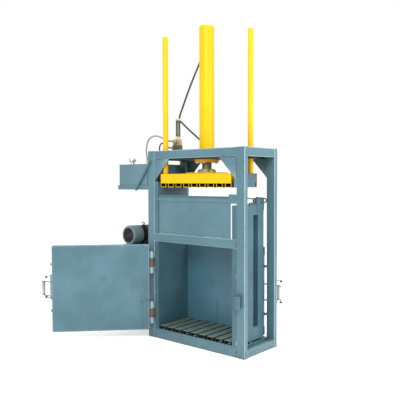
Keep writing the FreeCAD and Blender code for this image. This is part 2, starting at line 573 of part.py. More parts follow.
class Door:
    """A door that hangs on the left columns and latches on the right one.

    It is worked out closed and then, at the front, turned open about its hinge.
    """

    def __init__(self, word, sign, seat, depth):
        self.word = word
        self.sign = sign
        self.seat = seat
        self.rib_in = f"({seat} + door_skin)"
        self.rib_out = f"({seat} + door_skin + {depth})"
        self.rib_right = "rib_right" if sign < 0 else "back_rib_right"
        self.depth = depth

    def hang(self, shape, label):
        """Turn a piece to the door's rest place and list it."""
        if self.sign < 0:
            shape = copy_turned(label, shape, "-door_open", "-hinge_x", "-hinge_y")
        node(shape, label)

    def skin(self):
        """Inner sheet of the door."""
        sheet_part = box(f"{self.word}_skin", ("-door_left", "door_free"),
                         side_span(self.sign, self.seat, self.rib_in), ("door_low", "door_top"))
        self.hang(sheet_part, f"{self.word}_door_skin")

    def ribs(self):
        """Four tubes across and two upright ones, on the outside of the sheet."""
        rib_y = f"{self.sign} * ({self.rib_in} + {self.depth} / 2)"
        inner_left = "-rib_left + upright_wide"
        inner_right = f"{self.rib_right} - upright_wide"
        bars = []
        full = ("-rib_left", self.rib_right)
        short = (inner_left, inner_right)
        rows = (("low", full, "door_low + rib_high / 2"), ("top", full, "door_top - rib_high / 2"),
                ("lower", short, "door_low + door_high / 3 + 6"),
                ("upper", short, "door_low + door_high * 2 / 3 - 6"))
        for row_name, span, place in rows:
            bars.append(hollow_bar(f"{self.word}_rib_{row_name}", self.depth, "rib_high", span,
                                   y=rib_y, z=place, axis="x"))
        for column, place in (("hinge", "-rib_left + upright_wide / 2"),
                              ("free", f"{self.rib_right} - upright_wide / 2")):
            bars.append(hollow_bar(f"{self.word}_upright_{column}", "upright_wide", self.depth,
                                   ("door_low + rib_high", "door_top - rib_high"), x=place, y=rib_y))
        self.hang(group(f"{self.word}_ribs", *bars), f"{self.word}_door_ribs")

    def fittings(self):
        """Hinge knuckles with their straps, and the lugs that carry the latch."""
        parts = []
        hinge_y = f"{self.sign} * hinge_y"
        for row, height in (("top", "hinge_top_z"), ("low", "hinge_low_z")):
            reach = "(barrel_hinge_long / 2 + hinge_gap)"
            spans = ((f"{height} + {reach}", f"{height} + {reach} + knuckle_long"),
                     (f"{height} - {reach} - knuckle_long", f"{height} - {reach}"))
            for index, span in enumerate(spans):
                name = f"{self.word}_{row}_knuckle{index}"
                knuckle = rod(name, "knuckle_dia", span, x="-hinge_x", y=hinge_y)
                bore = rod(name + "_bore", "hinge_pin_dia + 2 * hinge_fit", (f"{span[0]} - 5", f"{span[1]} + 5"),
                           x="-hinge_x", y=hinge_y)
                if self.sign < 0:
                    strap = box(name + "_strap", ("-hinge_x + 14", "-rib_left"),
                                ("-hinge_y - 6", "-hinge_y + 6"), span)
                else:
                    strap = box(name + "_strap", ("-hinge_x + 13", "-rib_left + upright_wide + 40"),
                                (self.rib_out, f"{self.rib_out} + 10"), span)
                parts.append(cut(name, fuse(name, knuckle, strap), bore))
        for row, low in (("low", "latch_low - 1 - lug_thick"), ("top", "latch_high + 1")):
            name = f"{self.word}_lug_{row}"
            plate = box(name, (self.rib_right, "latch_x + hub_dia / 2"),
                        side_span(self.sign, f"{self.rib_out} - 24", "latch_y + hub_dia / 2"),
                        (low, f"{low} + lug_thick"))
            hole = rod(name + "_hole", "latch_pin_dia + 0.2", (f"{low} - 5", f"{low} + lug_thick + 5"),
                       x="latch_x", y=f"{self.sign} * latch_y")
            parts.append(cut(name, plate, hole))
        for row, low in (("low", "door_low + 210"), ("top", "door_low + 705")):
            parts.append(box(f"{self.word}_edge_catch_{row}", (self.rib_right, f"{self.rib_right} + 30"),
                             side_span(self.sign, f"{self.rib_out} - 34", f"{self.rib_out} - 10"),
                             (low, f"{low} + 26")))
        self.hang(group(f"{self.word}_fittings", *parts), f"{self.word}_door_fittings")

    def swing(self, shape, name):
        """Turn a latch piece of the open door from its hooked place to its free place."""
        if self.sign > 0:
            return shape
        return copy_turned(name + "_swung", shape, f"{self.sign} * latch_swing", "latch_x",
                           f"{self.sign} * latch_y")

    def latch(self):
        """Yoke on its pin, the tube that hooks behind the keeper, and two ball handles."""
        sign = self.sign
        pivot_y = f"{sign} * latch_y"
        hub = rod(f"{self.word}_hub", "hub_dia", ("latch_low", "latch_high"), x="latch_x", y=pivot_y)
        pin = rod(f"{self.word}_latch_pin", "latch_pin_dia", ("latch_low - 30", "latch_high + 12"),
                  x="latch_x", y=pivot_y)
        collar = rod(f"{self.word}_collar", "hub_dia", ("latch_high + 12", "latch_high + 82"),
                     x="latch_x", y=pivot_y)
        arms = []
        for row, low in (("low", "latch_low"), ("top", "latch_high - arm_thick")):
            span = (low, f"{low} + arm_thick")
            arms.append(box(f"{self.word}_arm_{row}", ("latch_x", "latch_x + arm_long + arm_tail"),
                            (f"{pivot_y} - arm_wide / 2", f"{pivot_y} + arm_wide / 2"), span))
        yoke = fuse(f"{self.word}_yoke", hub, pin, collar, *arms)
        tube_x = "latch_x + arm_long"
        tube = rod(f"{self.word}_latch_tube", "latch_tube_dia",
                   ("latch_low + arm_thick + 0.5", "latch_high - arm_thick - 0.5"), x=tube_x, y=pivot_y)
        bore = rod(f"{self.word}_latch_tube_bore", "latch_tube_dia - 10", ("latch_low", "latch_high"),
                   x=tube_x, y=pivot_y)
        self.hang(self.swing(yoke, f"{self.word}_yoke"), f"{self.word}_latch_yoke")
        self.hang(self.swing(cut(f"{self.word}_latch_tube", tube, bore), f"{self.word}_latch_tube"),
                  f"{self.word}_latch_tube")
        self.hang(self.swing(self.handles(), f"{self.word}_handles"), f"{self.word}_latch_handles")

    def handles(self):
        """Two bars with a ball at the end: one off the collar, one off the pin's lower end."""
        pivot_y = f"{self.sign} * latch_y"
        start_x = value("latch_x")
        start_y = value(pivot_y)
        end_x = value("latch_x + arm_long + 4")
        end_y = value("latch_y + lever_out") * self.sign
        rows = (("top", "latch_high + 74", "latch_high + 36", "hub_dia"),
                ("low", "latch_low - 20", "latch_low - 26", "latch_pin_dia"))
        levers = []
        for row, start_z, end_z, core_dia in rows:
            start = Vector(start_x, start_y, value(start_z))
            end = Vector(end_x, end_y, value(end_z))
            reach = end - start
            bar = Part.makeCylinder(value("lever_dia") / 2, reach.Length, start, reach)
            ball = Part.makeSphere(value("ball_dia") / 2, end)
            lever = doc.addObject("Part::Feature", f"{self.word}_lever_{row}")
            lever.Shape = bar.fuse(ball).removeSplitter()
            core = rod(f"{self.word}_lever_core_{row}", core_dia, (f"{start_z} - 20", f"{start_z} + 8"),
                       x="latch_x", y=pivot_y)
            levers.append(cut(f"{self.word}_lever_{row}", lever, core))
        return group(f"{self.word}_levers", *levers)

    def build(self):
        """Make every piece of the door."""
        self.skin()
        self.ribs()
        self.fittings()
        self.latch()


def build_keepers():
    """A rounded hook plate between two ears on each right column."""
    keepers = []
    for word, sign in (("front", -1), ("back", 1)):
        mid_y = f"{sign} * keeper_y"
        place = {"x": "keeper_mid", "y": mid_y}
        ring = rod(f"keeper_ring_{word}", "keeper_dia", ("keeper_low", "keeper_high"), **place)
        hollow = rod(f"keeper_hollow_{word}", "keeper_dia - 2 * keeper_wall",
                     ("keeper_low + keeper_wall", "keeper_high - keeper_wall"), **place)
        mouth = box(f"keeper_mouth_{word}", ("keeper_mid - keeper_dia", "keeper_mid - 8"),
                    side_span(sign, "half_deep - 5", "keeper_y + keeper_dia"),
                    ("keeper_low + keeper_wall", "keeper_high - keeper_wall"))
        foot = box(f"keeper_foot_{word}", ("keeper_mid - keeper_dia", "keeper_mid + keeper_dia"),
                   side_span(sign, "half_deep - 10", "half_deep"), ("keeper_low - 5", "keeper_high + 5"))
        keepers.append(cut(f"keeper_{word}", ring, hollow, mouth, foot))
    node(group("keepers", *keepers), "keepers")


def build_hinges():
    """Hinge barrels welded to the left columns, and the pins that the doors turn on."""
    barrels = []
    pins = []
    for word, sign in (("front", -1), ("back", 1)):
        hinge_y = f"{sign} * hinge_y"
        for row, height in (("top", "hinge_top_z"), ("low", "hinge_low_z")):
            name = f"hinge_{word}_{row}"
            half = "barrel_hinge_long / 2"
            span = (f"{height} - {half}", f"{height} + {half}")
            barrel = rod(name, "barrel_hinge_dia", span, x="-hinge_x", y=hinge_y)
            block = box(name + "_block", ("-hinge_x - 20", "-hinge_x + 16"),
                        side_span(sign, "half_deep", "hinge_y"), span)
            bore = rod(name + "_bore", "hinge_pin_dia", (f"{span[0]} - 5", f"{span[1]} + 5"),
                       x="-hinge_x", y=hinge_y)
            barrels.append(cut(name, fuse(name, barrel, block), bore))
            reach = "(barrel_hinge_long / 2 + hinge_gap + knuckle_long)"
            shank = rod(name + "_pin", "hinge_pin_dia",
                        (f"{height} - {reach} - hinge_head_thick", f"{height} + {reach} + hinge_gap"),
                        x="-hinge_x", y=hinge_y)
            head = rod(name + "_head", "hinge_pin_dia + 2 * hinge_head_out",
                       (f"{height} + {reach} + hinge_gap", f"{height} + {reach} + hinge_gap + hinge_head_thick"),
                       x="-hinge_x", y=hinge_y)
            pins.append(fuse(name + "_pin", shank, head))
    node(group("hinge_barrels", *barrels), "hinge_barrels")
    node(group("hinge_pins", *pins), "hinge_pins")


# ---------------------------------------------------------------- platen

def build_platen():
    """Two channels along the platen, plates across its ends, cross members, slats and a seat plate."""
    channels = []
    for word, sign, outer in (("front", -1, "platen_front"), ("back", 1, "platen_back")):
        span = ("-platen_half", "platen_half")
        blank = box(f"platen_{word}", span, side_span(sign, f"{outer} - channel_flange", outer),
                    ("channel_low", "platen_top"))
        hollow = box(f"platen_{word}_hollow", ("-platen_half - 5", "platen_half + 5"),
                     side_span(sign, f"{outer} - channel_flange - 5", f"{outer} - channel_wall"),
                     ("channel_low + channel_wall", "platen_top - channel_wall"))
        channels.append(cut(f"platen_{word}", blank, hollow))
    guide_holes = [rod(f"platen_hole_{word}", "guide_dia", ("channel_low - 5", "seat_top + 5"),
                       x=f"{sign} * guide_x", y=f"cylinder_y + {sign} * guide_y")
                   for word, sign in (("front", -1), ("back", 1))]
    holed = [cut(f"platen_holed_{index}", channel, guide_holes[index])
             for index, channel in enumerate(channels)]
    node(group("platen_channels", *holed), "platen_channels")

    plates = [box(f"platen_end_{word}", span_of(sign, "platen_half", "platen_half + end_plate"),
                  ("-(platen_front - channel_flange + end_lap)", "platen_back - channel_flange + end_lap"),
                  ("platen_low", "platen_top"))
              for word, sign in (("left", -1), ("right", 1))]
    node(group("platen_end_plates", *plates), "platen_end_plates")

    members = []
    inner = ("-(platen_front - channel_flange)", "platen_back - channel_flange")
    for index, place in enumerate(("-300", "-95", "95", "300")):
        members.append(inverted_channel(f"platen_member{index}", place, "cross_wide", inner,
                                        ("channel_low", "platen_top")))
    members.append(box("seat_plate", ("-seat_plate_wide / 2", "seat_plate_wide / 2"),
                       ("cylinder_y - seat_plate_deep / 2", "cylinder_y + seat_plate_deep / 2"),
                       ("platen_top", "seat_top")))
    node(group("platen_cross_members", *members), "platen_cross_members")

    slats = []
    for index in range(PLATEN_SLATS):
        place = f"{index - (PLATEN_SLATS - 1) / 2} * platen_slat_pitch"
        slat = box(f"platen_slat{index + 1}", (f"{place} - platen_slat_wide / 2", f"{place} + platen_slat_wide / 2"),
                   ("-platen_front", "platen_back"), ("platen_low", "channel_low"))
        hollow = box(f"platen_slat{index + 1}_hollow",
                     (f"{place} - platen_slat_wide / 2 + slat_wall", f"{place} + platen_slat_wide / 2 - slat_wall"),
                     ("-platen_front - 5", "platen_back + 5"), ("platen_low + slat_wall", "channel_low + 5"))
        slats.append(cut(f"platen_slat{index + 1}", slat, hollow))
    node(group("platen_slats", *slats), "platen_slats")

    guides = [rod(f"guide_{word}", "guide_dia", ("channel_low", "guide_top"),
                  x=f"{sign} * guide_x", y=f"cylinder_y + {sign} * guide_y")
              for word, sign in (("front", -1), ("back", 1))]
    node(group("guide_rods", *guides), "guide_rods")


def build_cylinder():
    """Hydraulic cylinder: barrel, lower flange with gland, end cap, rod with piston, and bolts."""
    middle = {"y": "cylinder_y"}
    tube = rod("barrel_tube", "barrel_dia", ("mount_low", "cap_low"), **middle)
    bore = rod("barrel_bore", "bore_dia", ("mount_low - 5", "cap_low + 5"), **middle)
    node(cut("barrel", tube, bore), "cylinder_barrel")

    flange = rod("flange_disc", "flange_dia", ("flange_low", "mount_low"), **middle)
    gland = rod("gland", "bore_dia - 0.2", ("mount_low", "mount_low + gland_long"), **middle)
    rod_hole = rod("rod_hole", "rod_dia + 2 * rod_fit", ("flange_low - 5", "mount_low + gland_long + 5"),
                   **middle)
    node(cut("flange", fuse("flange_gland", flange, gland), rod_hole), "cylinder_flange")

    bolts = []
    for index in range(FLANGE_BOLTS):
        turn = f"{index * 360 / FLANGE_BOLTS + 360 / FLANGE_BOLTS / 2}"
        head = doc.addObject("Part::Prism", f"flange_bolt{index}")
        head.Polygon = 6
        bind(head, "Circumradius", "flange_bolt * 0.9")
        bind(head, "Height", "flange_bolt * 0.65")
        at(head, f"flange_pcd / 2 * cos({turn})", f"cylinder_y + flange_pcd / 2 * sin({turn})",
           "flange_low - flange_bolt * 0.65")
        bolts.append(head)
    node(group("flange_bolts", *bolts), "flange_bolts")

    cap = rod("cap_disc", "barrel_dia", ("cap_low", "barrel_top"), **middle)
    round_cap = doc.addObject("Part::Chamfer", "cap_chamfered")
    round_cap.Base = cap
    edge = 1 + [abs(item.CenterOfMass.z) for item in cap_edges(cap)].index(
        max(abs(item.CenterOfMass.z) for item in cap_edges(cap)))
    chamfer = value("cap_chamfer")
    round_cap.Edges = [(edge, chamfer, chamfer)]
    node(round_cap, "cylinder_cap")

    shank = rod("piston_shank", "rod_dia", ("seat_top", "piston_top"), **middle)
    piston = rod("piston", "bore_dia - 0.2", ("piston_top - piston_long", "piston_top"), **middle)
    foot = rod("rod_foot", "rod_foot_dia", ("seat_top", "seat_top + rod_foot_thick"), **middle)
    neck = rod("rod_neck", "rod_dia + 2 * rod_neck_out",
               ("seat_top + rod_foot_thick", "seat_top + rod_foot_thick + rod_neck_thick"), **middle)
    node(fuse("piston_rod", shank, piston, foot, neck), "piston_rod")


def cap_edges(obj):
    """Return the edges of an object's shape once it is worked out."""
    doc.recompute()
    return obj.Shape.Edges


# ---------------------------------------------------------------- power pack

def build_tank():
    """Oil tank with its lid, the angle platform with two braces, and the breather."""
    tank_x = ("-tank_left", "-tank_right")
    tank_y = ("-tank_deep / 2", "tank_deep / 2")
    low = "platform_low + angle_thick"
    outer = box("tank_outer", tank_x, tank_y, (low, "tank_top - 5"))
    inner = box("tank_inner", ("-tank_left + tank_wall", "-tank_right - tank_wall"),
                ("-tank_deep / 2 + tank_wall", "tank_deep / 2 - tank_wall"),
                (f"{low} + tank_wall", "tank_top + 5"))
    lid = box("tank_lid", tank_x, tank_y, ("tank_top - 5", "tank_top"))
    node(group("oil_tank", cut("tank", outer, inner), lid), "oil_tank")

    ring_x = ("-platform_left", "-half_wide")
    ring_y = ("-half_deep", "half_deep")
    ring = box("ring_outer", ring_x, ring_y, ("platform_low", "platform_low + angle_leg"))
    ring_gap = box("ring_gap", ("-platform_left + angle_thick", "-half_wide - angle_thick"),
                   ("-half_deep + angle_thick", "half_deep - angle_thick"),
                   ("platform_low + angle_thick", "platform_low + angle_leg + 5"))
    well = box("ring_well", ("-platform_left + angle_leg", "-half_wide - angle_leg"),
               ("-half_deep + angle_leg", "half_deep - angle_leg"),
               ("platform_low - 5", "platform_low + angle_thick + 5"))
    parts = [cut("platform_ring", ring, ring_gap, well)]
    top_x = value("brace_in - half_wide")
    top_z = value("brace_top")
    foot_x = value("-half_wide - brace_reach")
    foot_z = value("platform_low + brace_rise")
    brace_wide = value("brace_wide")
    leg = value("angle_thick")
    along = Vector(top_x - foot_x, 0, top_z - foot_z).normalize()
    across = Vector(along.z, 0, -along.x)
    for word, sign in (("front", -1), ("back", 1)):
        face = value("half_deep") * sign
        corners = [Vector(foot_x, face, foot_z), Vector(top_x, face, top_z)]
        legs = []
        for wide, deep in ((brace_wide, leg), (leg, value("brace_deep"))):
            outline = [corners[0], corners[1], corners[1] + across * wide, corners[0] + across * wide]
            plate = Part.Face(Part.makePolygon(outline + outline[:1])).extrude(Vector(0, sign * deep, 0))
            legs.append(plate.translated(across * (brace_wide - wide)))
        brace = doc.addObject("Part::Feature", f"brace_{word}")
        brace.Shape = legs[0].fuse(legs[1]).removeSplitter()
        parts.append(brace)
    node(group("tank_platform", *parts), "tank_platform")

    place = {"x": "breather_x", "y": "breather_y"}
    neck = rod("breather_neck", "neck_dia", ("tank_top", "tank_top + neck_high"), **place)
    cap = rod("breather_cap", "breather_dia", ("tank_top + neck_high", "tank_top + neck_high + breather_high"),
              **place)
    node(fuse("tank_breather", neck, cap), "tank_breather")


def build_motor():
    """Foot-mounted motor with a fan cowl, its rotor with fan, bell housing and pump, on a shelf."""
    place = {"x": "motor_x", "z": "motor_z", "axis": "y"}
    shell = rod("motor_shell", "motor_dia", ("cowl_back", "motor_back"), **place)
    cavity = rod("stator_cavity", "stator_bore", ("cowl_back + 22", "motor_back - 22"), **place)
    hole = rod("shaft_hole", "shaft_dia + 2 * shaft_fit", ("cowl_back - 5", "motor_back + 5"), **place)
    feet = [box(f"motor_foot_{word}", (f"motor_x + {low}", f"motor_x + {high}"),
                ("cowl_back + 30", "motor_back - 20"), ("shelf_top", "motor_z - 60"))
            for word, low, high in (("left", "-foot_out", "-foot_in"), ("right", "foot_in", "foot_out"))]
    terminal = box("terminal_box", ("motor_x + terminal_in", "motor_x + terminal_out"),
                   ("cowl_back + 40", "cowl_back + 150"),
                   ("motor_z + terminal_low", "motor_z + terminal_top"))
    housing = cut("motor_housing", fuse("motor_shell", shell, terminal, *feet), cavity, hole)
    node(housing, "motor_housing")

    cup = rod("cowl_cup", "cowl_dia", ("motor_front", "cowl_back"), **place)
    inside = rod("cowl_inside", "cowl_dia - 2 * cowl_skin", ("motor_front + cowl_skin", "cowl_back + 5"),
                 **place)
    rings = []
    for index in range(GRILLE_SLOTS):
        middle = f"grille_first + {index} * grille_pitch"
        ring = rod(f"grille_ring{index}", f"{middle} + 2 * grille_slot", ("motor_front - 5", "motor_front + 15"),
                   **place)
        core = rod(f"grille_core{index}", middle, ("motor_front - 6", "motor_front + 16"), **place)
        rings.append(cut(f"grille_slot{index}", ring, core))
    front = ("motor_front", "motor_front + cowl_skin")
    half_bar = "grille_bar / 2"
    reach = "(cowl_dia / 2 - grille_bar)"
    bars = fuse("grille_bars",
                box("grille_bar_up", (f"motor_x - {half_bar}", f"motor_x + {half_bar}"), front,
                    (f"motor_z - {reach}", f"motor_z + {reach}")),
                box("grille_bar_across", (f"motor_x - {reach}", f"motor_x + {reach}"), front,
                    (f"motor_z - {half_bar}", f"motor_z + {half_bar}")))
    node(fuse("fan_cowl", cut("cowl", cup, inside, *rings), bars), "fan_cowl")

    shaft = rod("motor_shaft", "shaft_dia", ("motor_front + 40", "bell_back"), **place)
    core = rod("rotor_core", "rotor_dia", ("cowl_back + 34", "motor_back - 34"), **place)
    disc = rod("fan_disc", "fan_dia", ("fan_back - fan_thick", "fan_back"), **place)
    hub = rod("fan_hub", "fan_hub_dia", ("fan_back - fan_long", "fan_back"), **place)
    blades = []
    for index in range(FAN_BLADES):
        angle = index * 360 / FAN_BLADES
        blade = doc.addObject("Part::Box", f"fan_blade{index}")
        bind(blade, "Length", "fan_dia / 2 - fan_hub_dia / 4 - fan_thick")
        bind(blade, "Width", "fan_long - fan_thick / 2 - 1")
        bind(blade, "Height", "fan_thick")
        blade.Placement = Placement(Vector(), Rotation(Vector(0, 1, 0), angle))
        out = "fan_hub_dia / 4"
        aside = "fan_thick / 2"
        at(blade, f"motor_x + {out} * cos({angle}) - {aside} * sin({angle})", "fan_back - fan_long + 1",
           f"motor_z - {out} * sin({angle}) - {aside} * cos({angle})")
        blades.append(blade)
    node(fuse("motor_rotor", shaft, core, hub, disc, *blades), "motor_rotor")

    bell = rod("bell", "bell_dia", ("motor_back", "bell_back"), **place)
    bell_room = rod("bell_room", "bell_dia - 24", ("motor_back - 5", "bell_back - 10"), **place)
    shaft_room = rod("bell_shaft_room", "shaft_dia + 2", ("bell_back - 15", "bell_back + 5"), **place)
    block = box("pump_block", ("motor_x - pump_wide / 2", "motor_x + pump_wide / 2"),
                ("bell_back", "pump_back"), ("motor_z - pump_wide / 2", "motor_z + pump_wide / 2"))
    node(group("pump", cut("bell", bell, bell_room, shaft_room), block), "pump")

    plate = box("shelf_plate", ("-shelf_left", "-half_wide"), ("-shelf_deep", "shelf_deep"),
                ("shelf_top - shelf_thick", "shelf_top"))
    under = value("shelf_top - shelf_thick")
    wall = -value("half_wide")
    nose = wall - value("web_reach")
    half_web = value("web_thick / 2")
    points = [(wall, under), (nose, under), (nose, under - value("web_nose")), (wall, under - value("web_root"))]
    webs = []
    for word, sign in (("front", -1), ("back", 1)):
        mid = sign * value("half_deep - web_inset")
        webs.append(prism(f"shelf_web_{word}", points, mid - half_web, mid + half_web, "y"))
    node(group("motor_shelf", plate, *webs), "motor_shelf")


def build_pipe():
    """Suction pipe from the tank's floor down and round into the side of the pump."""
    x = value("pipe_x")
    y = value("pump_mid")
    top = value("platform_low + angle_thick")
    bend = value("pipe_bend")
    mid = value("motor_z")
    start = Vector(x, y, top)
    corner = Vector(x, y, mid + bend)
    turn = Vector(x - bend * (1 - math.sqrt(0.5)), y, mid + bend * (1 - math.sqrt(0.5)))
    end = Vector(x - bend, y, mid)
    path = Part.Wire([Part.LineSegment(start, corner).toShape(), Part.Arc(corner, turn, end).toShape()])
    outer = path.makePipeShell([Part.Wire(Part.makeCircle(value("pipe_dia") / 2, start, Vector(0, 0, -1)))],
                               True, False)
    inner_radius = value("pipe_dia / 2 - pipe_wall")
    inner = path.makePipeShell([Part.Wire(Part.makeCircle(inner_radius, start, Vector(0, 0, -1)))],
                               True, False)
    obj = doc.addObject("Part::Feature", "suction_pipe_solid")
    obj.Shape = outer.cut(inner)
    node(obj, "suction_pipe")


def elbow_fitting(name, base, outward, stub, end):
    """A round stub along outward, a ball at its head and a nipple from there to a hose's end."""
    radius = value("elbow_dia / 2")
    head = base + outward * stub
    shape = Part.makeCylinder(radius, stub, base, outward)
    reach = end - head
    shape = shape.fuse(Part.makeSphere(radius + 2, head))
    shape = shape.fuse(Part.makeCylinder(radius - 1, reach.Length, head, reach))
    obj = doc.addObject("Part::Feature", name)
    obj.Shape = shape.removeSplitter()
    return obj


def build_valve():
    """Manifold with a valve on the deck, and every fitting that a hose ends in."""
    manifold = box("manifold", ("valve_x - manifold_wide / 2", "valve_x + manifold_wide / 2"),
                   ("valve_y - manifold_deep / 2", "valve_y + manifold_deep / 2"),
                   ("frame_high", "valve_low"))
    spool = box("valve_body_box", ("valve_x - valve_wide / 2", "valve_x + valve_wide / 2"),
                ("valve_y - valve_deep / 2", "valve_y + valve_deep / 2"), ("valve_low", "valve_top"))
    coil = rod("valve_coil", "coil_dia",
               ("valve_y - valve_deep / 2 - coil_long", "valve_y + valve_deep / 2 + coil_long"),
               x="valve_x", z="(valve_low + valve_top) / 2", axis="y")
    node(fuse("valve_block", manifold, spool, coil), "valve_block")

    ends = {name: (Vector(*route[0]), Vector(*route[-1])) for name, (_, route) in HOSES.items()}
    fittings = []
    for word in ("front", "back"):
        place = {"x": f"valve_x + {word}_sleeve_x", "y": f"valve_y + {word}_sleeve_y"}
        adapter = rod(f"adapter_{word}", "adapter_dia", ("valve_top", "sleeve_low"), **place)
        sleeve = rod(f"hose_sleeve_{word}", "hose_sleeve_dia", ("sleeve_low", "sleeve_top"), **place)
        fittings.append(fuse(f"sleeve_{word}_fitting", adapter, sleeve))
    sleeve_head = Vector(value("valve_x + front_sleeve_x"), value("valve_y + front_sleeve_y"),
                         value("sleeve_top"))
    top_elbow = elbow_fitting("sleeve_elbow", sleeve_head, Vector(0, 0, 1), value("elbow_stub"),
                              ends["lower_cylinder_hose"][0])
    fittings[0] = fuse("front_sleeve_with_elbow", fittings[0], top_elbow)
    fittings.append(rod("return_adapter", "adapter_dia",
                        ("valve_x - valve_wide / 2 - adapter_long", "valve_x - valve_wide / 2"),
                        y="valve_y", z="valve_low + 50", axis="x"))
    fittings.append(rod("pressure_adapter", "adapter_dia",
                        ("valve_x - manifold_wide / 2 - adapter_long - 4", "valve_x - manifold_wide / 2"),
                        y="valve_y", z="frame_high + 42", axis="x"))
    fittings.append(rod("tank_adapter", "adapter_dia", ("tank_top", "tank_top + 36"), x="-832", y="-110"))
    fittings.append(rod("pump_adapter", "adapter_dia",
                        ("motor_z + pump_wide / 2", "motor_z + pump_wide / 2 + 36"), x="motor_x", y="pump_mid"))
    turn = math.radians(value("port_turn"))
    outward = Vector(math.cos(turn), math.sin(turn), 0)
    axis_foot = Vector(0, value("cylinder_y"), 0)
    for word, height, end in (("low", "port_low", ends["lower_cylinder_hose"][1]),
                              ("top", "port_high", ends["upper_cylinder_hose"][1])):
        base = axis_foot + Vector(0, 0, value(height))
        elbow = elbow_fitting(f"port_{word}", base, outward, value("barrel_dia / 2 + port_long"), end)
        saddle = rod(f"port_saddle_{word}", "barrel_dia",
                     (f"{height} - port_saddle / 2", f"{height} + port_saddle / 2"), y="cylinder_y")
        fittings.append(cut(f"port_{word}", elbow, saddle))
    node(group("hose_fittings", *fittings), "hose_fittings")


# ---------------------------------------------------------------- hoses

# Each hose's diameter and its route from fitting to fitting.
HOSES = {
    "upper_cylinder_hose": (20, [
        (-404, -39, 2354), (-404, -39, 2396), (-368, -35, 2468), (-322, -27, 2582),
        (-262, -11, 2726), (-204, 12, 2868), (-156, 34, 2982), (-118, 32, 3080),
        (-103.4, 22.9, 3160), (-103.4, 22.9, 3216)]),
    "lower_cylinder_hose": (20, [
        (-385.9, -68.8, 2358.8), (-342, -63, 2324), (-282, -50, 2266), (-222, -30, 2210),
        (-170, -6, 2160), (-132.7, 10.2, 2119.7)]),
    "return_hose": (18, [
        (-490, -56, 2135), (-536, -56, 2135), (-602, -68, 2162), (-670, -84, 2194),
        (-734, -97, 2204), (-790, -106, 2184), (-826, -111, 2141), (-840, -114, 2082),
        (-842, -115, 2012), (-832, -110, 1958), (-832, -110, 1921)]),
    "pressure_hose": (16, [
        (-500, -56, 2062), (-550, -56, 2062), (-632, -36, 2102), (-716, 0, 2132),
        (-798, 44, 2080), (-858, 128, 2010), (-896, 238, 1950), (-920, 340, 1866),
        (-940, 374, 1730), (-955, 364, 1560), (-966, 325, 1412), (-969, 254, 1306),
        (-968, 208, 1230), (-968, 208, 1173)]),
}


def hose_solid(name, diameter, points):
    """Sweep a hose along its route, and print its length, runs, arcs and volume."""
    wire, radii = rounded_path(points)
    shape = swept(wire, diameter / 2)
    section = math.pi * diameter ** 2 / 4
    runs = [math.dist(before, after) for before, after in zip(points, points[1:])]
    print(f"{name}: length {wire.Length:.0f}, volume ratio {shape.Volume / (section * wire.Length):.4f}, "
          f"runs {[round(run) for run in runs]}, radii {[round(radius) for radius in radii]}")
    obj = doc.addObject("Part::Feature", name + "_solid")
    obj.Shape = shape
    return obj


def build_hoses():
    """Every free hose, each in a piece of its own."""
    for name, (diameter, points) in HOSES.items():
        node(hose_solid(name, diameter, points), name)


def check_document():
    """Stop if any object failed or any piece has no valid solid."""
    doc.recompute()
    failed = [item.Label for item in doc.Objects if {"Invalid", "Error"} & set(item.State)]
    if failed:
        raise RuntimeError(f"failed objects: {failed}")
    for item in nodes:
        if item.Shape.isNull() or not item.Shape.isValid() or not item.Shape.Solids:
            raise RuntimeError(f"bad shape: {item.Label}")


def write_parts():
    """Write each piece to its own STEP file."""
    os.makedirs("parts", exist_ok=True)
    for item in nodes:
        item.Shape.exportStep(f"parts/{item.Label}.step")
    print(f"{len(nodes)} pieces, {sum(len(item.Shape.Solids) for item in nodes)} solids")


build_columns()
build_beams()
build_gussets()
build_top_plates()
build_floor()
build_wall("left", -1)
build_wall("right", 1)
build_hooks()
build_panel()
build_keepers()
build_hinges()
Door("front", -1, "front_seat", "rib_deep").build()
Door("back", 1, "(back_seat + 2)", "back_rib_deep").build()
build_platen()
build_cylinder()
build_tank()
build_motor()
build_pipe()
build_valve()
build_hoses()
check_document()
write_parts()
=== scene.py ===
"""Looks of an upright hydraulic baler, built around its fixed frame.

Shapes are surfaces worked out as arrays: a section carried along a line, or a profile turned
about an axis. Metres, +X to the right, +Y to the back, +Z up, origin on the floor.
"""

import json
import logging
import math
from dataclasses import dataclass, replace
from enum import Enum
from typing import Optional, Sequence, Union

import bmesh
import bpy
import numpy as np
from mathutils import Matrix, Vector

